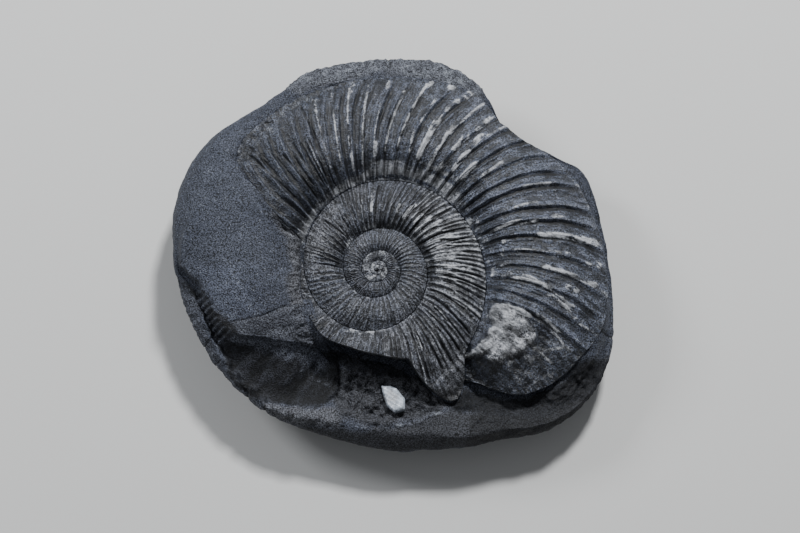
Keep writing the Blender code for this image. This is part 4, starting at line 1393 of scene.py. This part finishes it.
    regions: tuple[Region, ...] = (  # parts of its face with marks of their own; the first is the mould
        Region(
            ((358.3, 29.2), (355, 28.3), (349, 26.9), (340.3, 26.3), (332.7, 25.8), (324.4, 26.6),
             (316.5, 26.2), (311, 25), (299.8, 22.3), (290.6, 20), (287.9, 17.6), (291.2, 15.2),
             (299.6, 12.6), (307.9, 14.4), (319.4, 16.6), (328.1, 19.7), (332.8, 22.4), (338.2, 22.7),
             (344.7, 24.6), (348.7, 25.5), (354.8, 27.4)),
            0.25, dark=0.83, warm=0.12,
        ),
        Region(
            ((311, 24.2), (299.8, 22), (290.6, 19.8), (288.4, 17.6), (291.2, 15.8), (300, 16.4), (309, 19.4)),
            1, dark=0.93,
        ),
        Region(
            ((312.1, 25.4), (301.4, 22.9), (288.5, 20.6), (283, 21.2), (284, 23.2), (297.8, 24.6), (309, 26.6)),
            0.45, warm=0.4, pale=0.3, rough=0.22, grain_size=0.8,
        ),
        Region(
            ((328, 16.6), (309, 15.4), (308, 13.4), (325, 13.6)),
            0.5, dark=0.25, rough=0.3, grain_size=0.8,
        ),
        Region(
            ((290, 15), (272, 14.5), (250, 16), (236, 20.6), (246, 22.2), (268, 22.4),
             (281, 21.8), (285.5, 22), (290, 19.5)),
            0.7, warm=0.35, dark=0.5, rough=0.6, grain_size=1.5,
        ),
        # painted shadow under the broken edge of the middle whorl
        Region(
            ((303, 12.8), (284, 12.4), (266, 13), (254, 14.4), (254, 16.2), (268, 15.2),
             (284, 14.8), (300, 14.4)),
            0.4, dark=0.75, rough=0.25, grain_size=1,
        ),
        # painted shadow in the hollow beyond the crushed end
        Region(
            ((236.5, 19), (222.3, 26.9), (212, 31.4), (203.7, 34), (206, 35.6), (214, 33.4),
             (222, 30), (232, 26), (241, 23.4), (241, 21.4)),
            0.6, dark=0.96, rough=0.2,
        ),
        # the lower rim: painted shade where it turns from the light, on a brownish tone
        Region(
            ((205, 39), (225, 36), (250, 29), (285, 26.5), (300, 27.5), (300, 25.4),
             (288, 23.6), (264, 22.8), (241, 22.6), (221, 32), (207, 36.6)),
            0.5, dark=0.6, warm=0.3,
        ),
        # deeper painted shadow under the crushed end's edge
        Region(
            ((215.4, 31), (209.8, 31.3), (203.9, 32.5), (200.7, 34.7), (201.2, 36.4), (204.9, 37),
             (208.7, 36.2), (212.6, 34.5), (216, 32.6)),
            0.9, dark=0.97, rough=0.2,
        ),
        # painted shade on the lower right of the rim
        Region(
            ((246, 30), (238, 23.4), (224, 27.5), (206, 33), (199, 36), (199, 40), (222, 38)),
            1, dark=0.84, warm=0.15, rough=0.14,
        ),
        Region(
            ((196.6, 30.4), (195.7, 33.7), (195.2, 38.5), (200.8, 38.5), (200.9, 35.3), (199.8, 33.2), (198.4, 31.8)),
            0.4, slick=0.8,
        ),
        # painted light on the ledge, which lies in the cap's shadow, with a warm tone
        Region(
            ((339, 22.7), (336.3, 18.5), (336.8, 15.1), (334.2, 12.6), (309, 14.4), (320.2, 16.5),
             (328.9, 19.6), (333.4, 22.3)),
            0.3, pale=0.2, warm=0.2, rough=0.1,
        ),
        Region(
            ((334, 11.2), (345, 11), (358, 10.6), (12, 11), (22, 11.6), (30, 17), (24.5, 17.4),
             (18, 14.2), (8, 13.2), (358, 12.7), (345, 13.6), (334, 14.2)),
            0.5, warm=0.45, pale=0.3, rough=0.3, grain_size=0.9,
        ),
        Region(
            ((68, 40), (120, 40), (122, 28.5), (110, 29.5), (90, 29.2), (66, 28.6), (62, 30.5)),
            0.8, pale=0.42, warm=0.25, rough=0.2, grain_size=0.6,
        ),
        Region(((80.5, 34), (80, 31), (91, 30.6), (92.5, 34)), 0.5, pale=0.45),
        Region(
            ((303, 29), (359.5, 33), (358.9, 30), (354, 27.4), (344.2, 26.9), (335.5, 26.7),
             (327, 26.6), (316.5, 26), (306, 25.8)),
            0.3, pale=0.14, warm=0.15, rough=0.16, grain_size=1,
        ),
    )  # fmt: skip

    def angles(self) -> Array:
        """Angles of the columns, closer together along the broken left and lower side."""
        fine = np.linspace(0.0, TURN, 7201)
        dense = 0.75 + 0.5 * band(fine, 200.0, 210.0, 357.0, 360.0)
        dense += 1.6 * bell(fine - 335.4, 2.0) + 0.9 * bell(fine - 307.6, 2.5) + 0.8 * bell(fine - 249.0, 1.5)
        dense += 0.8 * bell(fine - 344.5, 7.0)
        laid = np.concatenate([[0.0], np.cumsum(0.5 * (dense[1:] + dense[:-1]))])
        return np.interp(np.arange(self.columns) / self.columns, laid / laid[-1], fine)

    def rings(self, angle: Array) -> tuple[Array, Array, list[int], list[float]]:
        """Control rings from the pole under the shell to the edge of the flat foot.

        Args:
            angle: Angles of the columns.

        Returns:
            Radii and heights, a ring to a line, then the number of rows that follow each ring, and how
            far the profile is rounded at it.
        """
        border = self.coil.border(angle)
        soft_border = read_round(tuple(zip(angle[::4], border[::4])), angle, 1.2)
        rim = read_round(self.rim_radius, angle, 1.6) - 0.32
        rim_height = read_round(self.rim_height, angle, 4.0)
        lip = read_round(self.lip, angle, 0.8)
        turn = self.coil.border_turn(angle)
        low = read_round(self.low_height, angle, 0.5)

        def edge_height(inset: float, lift: float) -> Array:
            """Height next to the shell's face, or that of the stone that passes under it."""
            high = self.coil.face_height(turn, border - inset) + lift
            return lip * high + (1.0 - lip) * low

        def ring(table: RingTable, soft: float) -> tuple[Array, Array]:
            """Radius and height of a table's ring at every angle."""
            share = read_round(tuple((a, s) for a, s, _ in table), angle, soft)
            height = read_round(tuple((a, h) for a, _, h in table), angle, soft)
            return soft_border + share * (rim - soft_border), height

        sunk = np.minimum(self.under_floor, low)
        top = ring(self.cliff_top, 0.25)
        run = read_round(self.cliff_run, angle, 0.8)
        foot = (top[0] + run * (rim - soft_border), read_round(self.floor, angle, 0.6))
        control = [
            (0.02 * border, self.under_floor + 0.0 * angle, 1, 0.0),
            (0.5 * border, self.under_floor + 0.0 * angle, 1, 0.0),
            (border - 2.0, sunk, 2, 0.0),
            (border - 0.9, edge_height(0.9, -0.9), 3, 0.0),
            (border - 0.35, edge_height(0.35, -0.1), 2, 0.0),
            (border + 0.12, edge_height(0.0, 0.1), 18, 0.1),
            (*ring(self.dome, 0.8), 20, 0.85),
            (*top, 12, 0.08),
            (*foot, 26, 0.35),
            (*ring(self.wall_foot, 0.8), 12, 0.4),
            (*ring(self.wall_top, 0.8), 11, 0.25),
            (rim, rim_height, 3, 0.6),
        ]
        lump = np.sin(np.radians(self.lump_count * angle + self.lump_turn)) * self.lump_depth
        for step in self.underside_steps:
            narrow = 1.0 - (1.0 - np.cos(0.5 * np.pi * step)) * (1.0 - self.flat_share)
            radius = rim * narrow * (1.0 + lump * np.sin(np.pi * step))
            control.append((radius, rim_height * (1.0 - np.sin(0.5 * np.pi * step)), 3, 0.5))
        control.append((0.3 * rim, 0.0 * angle, 2, 0.0))
        control.append((0.02 * rim, 0.0 * angle, 1, 0.0))
        radii, heights, rows, soft = zip(*control)
        return np.array(radii), np.array(heights), list(rows), list(soft)

    def profile_weights(self, rows: list[int], soft: list[float]) -> tuple[Array, Array]:
        """How much of each control ring is in each row.

        A row takes the straight line between its two rings, averaged over a stretch whose length is the
        softness of the nearest ring, which rounds the corners.

        Args:
            rows: Rows after each ring.
            soft: Softness of each ring.

        Returns:
            Each row's place among the rings, and the weights.
        """
        power = [self.crowding if ring == self.border_ring else 1.0 for ring in range(len(rows))]
        steps = [ring + (np.arange(count) / count) ** power[ring] for ring, count in enumerate(rows[:-1])]
        place = np.concatenate([*steps, [len(rows) - 1.0]])
        reach = np.interp(place, np.arange(len(soft)), soft)
        weights = np.zeros((place.size, len(rows)))
        for offset in np.linspace(-0.9, 0.9, 13):
            moved = np.clip(place + offset * reach, 0.0, len(rows) - 1.0)
            hat = np.clip(1.0 - np.abs(moved[:, None] - np.arange(len(rows))[None, :]), 0.0, 1.0)
            weights += (1.0 - abs(offset)) * hat
        return place, weights / weights.sum(axis=1, keepdims=True)

    def lay(self, grain: Grain, broken: Grain) -> StoneGrid:
        """Lays out the rings, and breaks the cliff, the mould's wall and the slot along them.

        The way up from the shell is a power of the share of the way, steeper where the shoulder is.

        Args:
            grain: Random values of the even surface.
            broken: Random values of broken stone.

        Returns:
            The points.
        """
        columns = self.angles()
        radii, heights, rows, soft = self.rings(columns)
        place, weights = self.profile_weights(rows, soft)
        radius, height = weights @ radii, weights @ heights
        angle, at = columns[None, :] + 0.0 * radius, place[:, None] + 0.0 * radius
        border = self.border_ring
        climb = np.clip(at - border, 0.0, 1.0)
        steep = read_round(self.shoulder, columns, 1.5)[None, :]
        height = height + (climb ** (1.0 - 0.75 * steep) - climb) * (heights[border + 1] - heights[border])[None, :]
        plain = np.stack([*plan_point(angle, radius), height], axis=2)

        top = read_round(tuple((a, h) for a, _, h in self.cliff_top), columns, 0.5)
        drop = top - read_round(self.floor, columns, 0.6)
        cliff = between(drop, *self.cliff_drop)[None, :] * band(at, *self.cliff_rings)
        layered = plain * (0.25, 0.25, 3.2)
        radius = radius + cliff * (0.28 * broken.rough(plain, 2.8, 5, 0.62) + 0.18 * broken.rough(layered, 1.6, 3))
        wall = band(at, *self.wall_rings) * band(angle, *self.wall_angles)
        line = angle / TURN + LAST_WHORL - 1.0
        imprint, _, _ = self.ribs.relief(line, 0.0 * line)
        radius = radius + wall * (0.7 * imprint - 0.1 + 0.12 * grain.rough(plain, 1.6, 4))
        slot = band(at, *self.slot_rings) * band(angle, *self.slot_angles)
        bars = slot * np.cos(2.0 * np.pi * (angle + 0.35 * grain.rough(plain, 3.0, 2)) / self.bar_spacing)
        radius = radius + self.bar_depth * bars
        plain = np.stack([*plan_point(angle, radius), height], axis=2)
        return StoneGrid(at, angle, radius, plain, cliff, wall, slot, bars)

    def ghosts(self, on: StoneGrid) -> Array:
        """Height of the ribs that show faintly through the cap, fading away from the shell."""
        turn = self.coil.border_turn(on.angle)
        over = self.coil.across(turn, on.radius)
        held = np.clip(over, 0.0, 1.0)
        ghost, _, _ = self.ribs.relief(turn - self.ribs.ahead(held), held)
        left, right = 1.0 - between(on.angle, 42.0, 56.0), between(on.angle, 337.0, 345.0)
        beyond = on.radius - self.coil.border(on.angle)
        near = 1.0 - between(beyond, 0.3, 3.0)
        return ghost * np.where(on.angle > 0.5 * TURN, right, left) * near * (over < 1.15)

    def build(self) -> bpy.types.Object:
        """Lays out the rings, roughens and marks them, and makes the mesh."""
        grain, broken = Grain(11), Grain(12)
        on = self.lay(grain, broken)
        at, angle, plain = on.at, on.angle, on.plain
        seen = between(at, self.border_ring - 0.05, self.border_ring + 0.02)
        beyond = on.radius - self.coil.border(angle)
        verge = (1.0 - between(beyond, 0.4, 2.6)) * read_round(self.lip, angle[0], 0.8)[None, :]
        hollow = self.regions[0].cover(plain, grain)
        streaks = np.stack([0.4 * angle, 0.35 * on.radius, 0.0 * on.radius], axis=2)
        streaks = hollow * grain.rough(streaks, 1.0, 4, 0.6)
        even = 0.085 * grain.rough(plain, 2.2, 5, 0.6) + 0.03 * broken.rough(plain, 0.5, 2)
        lift = 0.4 * self.ghosts(on) + 0.2 * verge * broken.rough(plain, 1.3, 4, 0.65)
        lift = lift + 0.22 * grain.rough(plain, 9.0, 2) * between(beyond, 0.3, 2.0)
        lift = seen * (lift + (1.0 - 0.55 * hollow) * even)
        lift = lift + hollow * 0.09 * grain.rough(plain * (1.0, 0.6, 1.0), 4.0, 2) + 0.05 * streaks
        lift = lift + between(at, 11.0, 12.0) * 0.25 * broken.rough(plain, 6.0, 4, 0.55)
        marks = {mask: np.zeros(at.shape) for mask in Mask}
        marks[Mask.FIBRE_AND_PAINTED_SHADING] += 0.5 + 0.45 * streaks + 0.3 * hollow * broken.rough(plain, 0.5, 2)
        # painted shade along the shell's edge
        marks[Mask.DARK] += 0.2 * verge * seen
        for region in self.regions:
            cover = region.cover(plain, grain) * seen * (1.0 - between(at, 11.3, 12.3))
            for mask in (Mask.PALE, Mask.DARK, Mask.WARM, Mask.SLICK):
                marks[mask] = np.maximum(marks[mask], getattr(region, mask.value) * cover)
            lift = lift + cover * (region.lift + region.rough * broken.rough(plain, region.grain_size, 5, 0.6))
        # painted light on the mould floor below the ledge, lifting the cliff's shadow
        lit = hollow * band(angle, *self.lit_angles) * (1.0 - on.slot) * band(at, *self.lit_rings)
        marks[Mask.DARK] *= 1.0 - lit
        marks[Mask.FIBRE_AND_PAINTED_SHADING] += 0.3 * lit + 0.24 * between(angle, 334.0, 345.0) * band(at, 5.6, 6.3, 6.7, 6.95)
        for crack in self.cracks:
            near = crack.strength(plain, grain) * seen
            lift = lift + crack.lift * near
            marks[Mask.PALE] = np.maximum(marks[Mask.PALE], crack.pale * near)
            marks[Mask.DARK] *= 1.0 - 0.9 * crack.pale * near
            marks[Mask.DARK] = np.maximum(marks[Mask.DARK], crack.dark * near)
        # painted highlights along the top of the cap's cliff and of the mould's wall, and on the rib imprints in the
        # slot
        edge = on.cliff * band(at, 6.75, 6.95, 7.05, 7.3)
        brink = on.wall * band(at, 9.85, 9.97, 10.1, 10.5)
        for pale in (0.28 * lit, 0.25 * edge, 0.3 * on.bars, 0.3 * brink):
            marks[Mask.PALE] = np.maximum(marks[Mask.PALE], pale)
        # painted shade on the cliff's face
        face = 0.35 * on.cliff * between(at, 7.1, 7.5) * (1.0 - on.slot) * (1.0 - lit)
        dark = np.maximum(marks[Mask.DARK], face)
        # the slot under the cap takes a set level of painted shade, lighter on each rib imprint
        marks[Mask.DARK] = np.clip(dark * (1.0 - on.slot) + 0.3 * on.slot - 0.4 * on.bars, 0.0, 1.0)
        places = plain + grid_normals(plain) * lift[..., None]
        places[..., 2] = np.where(at >= self.foot_ring, 0.0, np.maximum(places[..., 2], 0.0))
        return make_closed(self.name, places, marks)


@dataclass
class CrystalChip:
    """A chip of white crystal with cleavage steps, standing in the infill."""

    name: str = "calcite_crystal"  # the piece's name
    corners: Table = (  # (x, y) round it, from the coil's middle
        (0.6, -17), (1.9, -17), (2.9, -17.4), (4.1, -19), (4.1, -20.6), (2.6, -21.1), (1.5, -20.2), (1, -18.7),
    )  # fmt: skip
    foot: float = 7.0  # height of its foot
    top: float = 10.25  # height of its top's middle
    tilt: float = 0.12  # slope of its top along X
    bevel: float = 0.3  # width of its sloping shoulders
    bevel_drop: float = 0.42  # how far they fall
    step_height: float = 0.128  # height of a cleavage step
    step_width: float = 0.55  # width of a step
    highest: float = 10.48  # the greatest height of its steps
    columns: int = 120  # points round it

    def build(self) -> bpy.types.Object:
        """Lays rings round its middle: up the sides, over the shoulders and across the stepped top.

        The outline is read at even steps along its length. The top falls in steps along one direction, each a smooth
        step in a staircase.
        """
        outline = np.array(self.corners)
        middle = outline.mean(axis=0)
        ring = np.concatenate([outline, outline[:1]])
        lengths = np.concatenate([[0.0], np.cumsum(np.linalg.norm(np.diff(ring, axis=0), axis=1))])
        around = np.linspace(0.0, lengths[-1], self.columns, endpoint=False)
        edge = np.stack([np.interp(around, lengths, ring[:, 0]), np.interp(around, lengths, ring[:, 1])], axis=1)
        out = edge - middle
        size = np.linalg.norm(out, axis=1).mean()
        shares = np.concatenate([[0.04, 0.5], np.full(18, 1.0), np.linspace(0.985, 0.05, 30)])
        rises = np.concatenate([[0.0, 0.0], np.linspace(0.0, 0.88, 18), np.ones(30)])
        places = middle + out[None] * shares[:, None, None]
        slope = np.clip((1.0 - shares[:, None]) * size / self.bevel, 0.0, 1.0)
        along = (places[..., 0] * 0.55 + places[..., 1] * 0.84) / self.step_width
        stair = np.floor(along) + smooth_step((along % 1.0 - 0.35) / 0.3)
        face = self.top + self.tilt * (places[..., 0] - middle[0]) - self.step_height * (stair - stair[-1].mean())
        face = face - self.bevel_drop * (1.0 - slope)
        z = np.where(rises[:, None] < 0.99, self.foot + rises[:, None] * (face - self.foot), face)
        grid = np.concatenate([places, z[..., None]], axis=2)
        grain = Grain(31)
        normals = grid_normals(grid)
        facets = np.round(grain.layer(grid, 0.8) * 3.0) / 3.0
        grid = grid - normals * (0.03 * facets + 0.015 * grain.rough(grid, 0.4, 2))[..., None]
        grid[..., 2] = np.minimum(grid[..., 2], self.highest)
        grid = grid[:, ::-1]  # the corners run clockwise
        noise = grain.rough(grid, 1.0, 3)
        marks = {
            Mask.PALE: 0.6 * between(noise, -0.2, 0.6),
            Mask.DARK: 0.15 * between(-noise, 0.0, 0.6),
            Mask.WARM: 0.25 * between(-noise, 0.2, 0.8),
            Mask.SLICK: between(grain.rough(grid, 0.7, 2), -0.1, 0.3),
            Mask.FIBRE_AND_PAINTED_SHADING: 0.5 + 0.0 * noise,
        }
        return make_closed(self.name, grid, marks)


@dataclass
class Studio:
    """A pale floor, two soft lights, an even sky and the camera."""

    floor_side: float = 3000.0  # side of the floor in millimetres
    floor_colour: Colour = (0.62, 0.62, 0.61)  # its colour
    # the camera from the part's frame, in millimetres
    camera_place: tuple[float, float, float] = (1.043, -91.936, 396.372)
    camera_tilt: float = 13.0  # its tilt from straight down
    camera_lens: float = 120.0  # focal length
    sky: float = 0.21  # strength of the sky

    def floor(self) -> bpy.types.Object:
        """Lays the floor with a faint unevenness in tone."""
        half = 0.5 * self.floor_side
        corners = np.array([(-half, -half, 0.0), (half, -half, 0.0), (half, half, 0.0), (-half, half, 0.0)])
        corners = corners - (*COIL_MIDDLE, 0.0)
        made = make_mesh("floor", corners, np.array([[0, 1, 2, 3]]), np.zeros((0, 3), int), {})
        sheet = NodeSheet("pale_floor")
        tone = tuple(0.97 * part for part in self.floor_colour)
        colour = sheet.blend(sheet.noise(60.0, 2.0), tone, self.floor_colour)
        made.data.materials.append(sheet.finish(colour, sheet.spread(sheet.noise(40.0), 0.0, 1.0, 0.8, 0.9), 0.2))
        return made

    def light(self, name: str, place: tuple[float, float, float], side: float, power: float, colour: Colour) -> None:
        """Adds a square soft light that faces the part.

        Args:
            name: Its name.
            place: Where it is, in millimetres.
            side: Its side in millimetres.
            power: Its power in watts.
            colour: Its colour.
        """
        lamp = bpy.data.lights.new(name, "AREA")
        lamp.size = side * MM
        lamp.energy = power
        lamp.color = colour
        made = bpy.data.objects.new(name, lamp)
        bpy.context.scene.collection.objects.link(made)
        made.location = [part * MM for part in place]
        toward = -made.location.normalized()
        made.rotation_euler = toward.to_track_quat("-Z", "Y").to_euler()

    def camera(self) -> None:
        """Adds the camera and makes it the scene's."""
        lens = bpy.data.cameras.new("camera")
        lens.lens = self.camera_lens
        lens.sensor_width = 36.0
        lens.clip_start = 0.01
        made = bpy.data.objects.new("camera", lens)
        bpy.context.scene.collection.objects.link(made)
        made.location = [part * MM for part in self.camera_place]
        made.rotation_euler = (np.radians(self.camera_tilt), 0.0, 0.0)
        bpy.context.scene.camera = made

    def build(self) -> None:
        """Sets up floor, lights, sky and camera."""
        self.floor()
        self.light("key", (95.0, 250.0, 360.0), 55.0, 2.5, (0.98, 0.99, 1.0))
        self.light("fill", (-300.0, 190.0, 280.0), 130.0, 1.0, (0.95, 0.97, 1.0))
        world = bpy.data.worlds.new("sky")
        world.use_nodes = True
        back = world.node_tree.nodes["Background"]
        back.inputs["Color"].default_value = (0.93, 0.96, 1.0, 1.0)
        back.inputs["Strength"].default_value = self.sky
        bpy.context.scene.world = world
        self.camera()


def place_piece(piece: bpy.types.Object, finish: bpy.types.Material, node: str) -> None:
    """Dresses a piece and ties it to the frame.

    Args:
        piece: The piece.
        finish: Its material.
        node: The CAD node that it stands for.
    """
    piece.data.materials.append(finish)
    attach(piece, "root")
    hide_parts(node)
    mesh = piece.data
    LOG.info("%s: %d points, %d faces", piece.name, len(mesh.vertices), len(mesh.polygons))


def main() -> None:
    """Builds the studio and every piece in order."""
    logging.basicConfig(level=logging.INFO)
    Studio().build()
    coil = Coil()
    outer_ribs = RibPattern(
        counts=((2, 0), (4, 126.4)), height=0.74, sharpness=1.3, cleft=0.30, unevenness=0.14, seed=21,
        lean=coil.grid_lean,
        crest=((3.15, 0.21), (3.22, 0.15)), riblet=((3.15, 0), (3.22, 0.24)), split_at=((2, 2),),
    )  # fmt: skip
    middle_ribs = RibPattern(
        counts=((2, 0), (3, 62)), height=0.56, sharpness=1.4, cleft=0.42, unevenness=0.15, seed=22,
        lean=((0, 0), (0.1, 0.2), (0.3, 1.3), (0.6, 3.3), (1, 5.5)),
        crest=((2, 0.18),), riblet=((2, 0),), split_at=((2.62, 0.38), (2.7, 0.05)),
    )  # fmt: skip
    inner_ribs = RibPattern(
        counts=((-2, 0), (0, 44), (1, 92), (2, 142)), height=0.28, sharpness=1.5, cleft=0.42,
        lean=((0, 0), (0.3, 0.5), (0.6, 1.5), (1, 3.2)), unevenness=0.1, seed=23,
        crest=((2, 0.2),), riblet=((2, 0),), split_at=((2, 0.5),),
    )  # fmt: skip
    shell = SHELL_FINISH.material()
    strips = (
        WhorlStrip(
            "ammonite_inner_whorls", coil, inner_ribs, (), (), coil.first_turn, LAST_WHORL - 1.0, lines=1500, rows=52,
            fineness=0.5, dust_and_light=0.45, warmth=0.35, furrows=((0, 0.35), (360, 0.35)),
        ),
        WhorlStrip(
            "ammonite_middle_whorl", coil, middle_ribs, MIDDLE_WEAR, MIDDLE_SLOTS, LAST_WHORL - 1.0, LAST_WHORL,
            lines=940, rows=92, fineness=0.7, dust_and_light=0.75, warmth=0.5, bright=0.85, bright_at=(172.0, 50.0),
            painted_side_shade=((0, 0), (240, 0), (300, 0.08), (340, 0)),
            outer_wear=((0, 0.6), (45, 0.6), (65, 0.1), (125, 0.1), (145, 0)),
            furrows=(
                (0, 0.35), (40, 0.45), (130, 0.45), (160, 0.15), (260, 0.15), (295, 0.35), (330, 0.35),
            ),
            seam_shade=((60, 0), (85, 0.55), (188, 0.55), (205, 0)),
        ),
        WhorlStrip(
            "ammonite_outer_whorl", coil, outer_ribs, OUTER_WEAR, OUTER_SLOTS, LAST_WHORL, coil.last_turn,
            lines=900, rows=96, seam_silt_and_light=0.85, bright=0.15,
            furrows=((0, 0.35), (55, 0.35), (75, 0.05), (360, 0.05)),
            painted_side_shade=((0, 0.4), (80, 0.4), (120, 0.28), (155, 0), (360, 0)),
        ),
    )  # fmt: skip
    for strip in strips:
        place_piece(strip.build(), shell, "ammonite")
    place_piece(StoneBody(coil, outer_ribs).build(), STONE_FINISH.material(), "matrix")
    place_piece(CrystalChip().build(), CRYSTAL_FINISH.material(), "calcite")


if __name__ == "__main__":
    main()
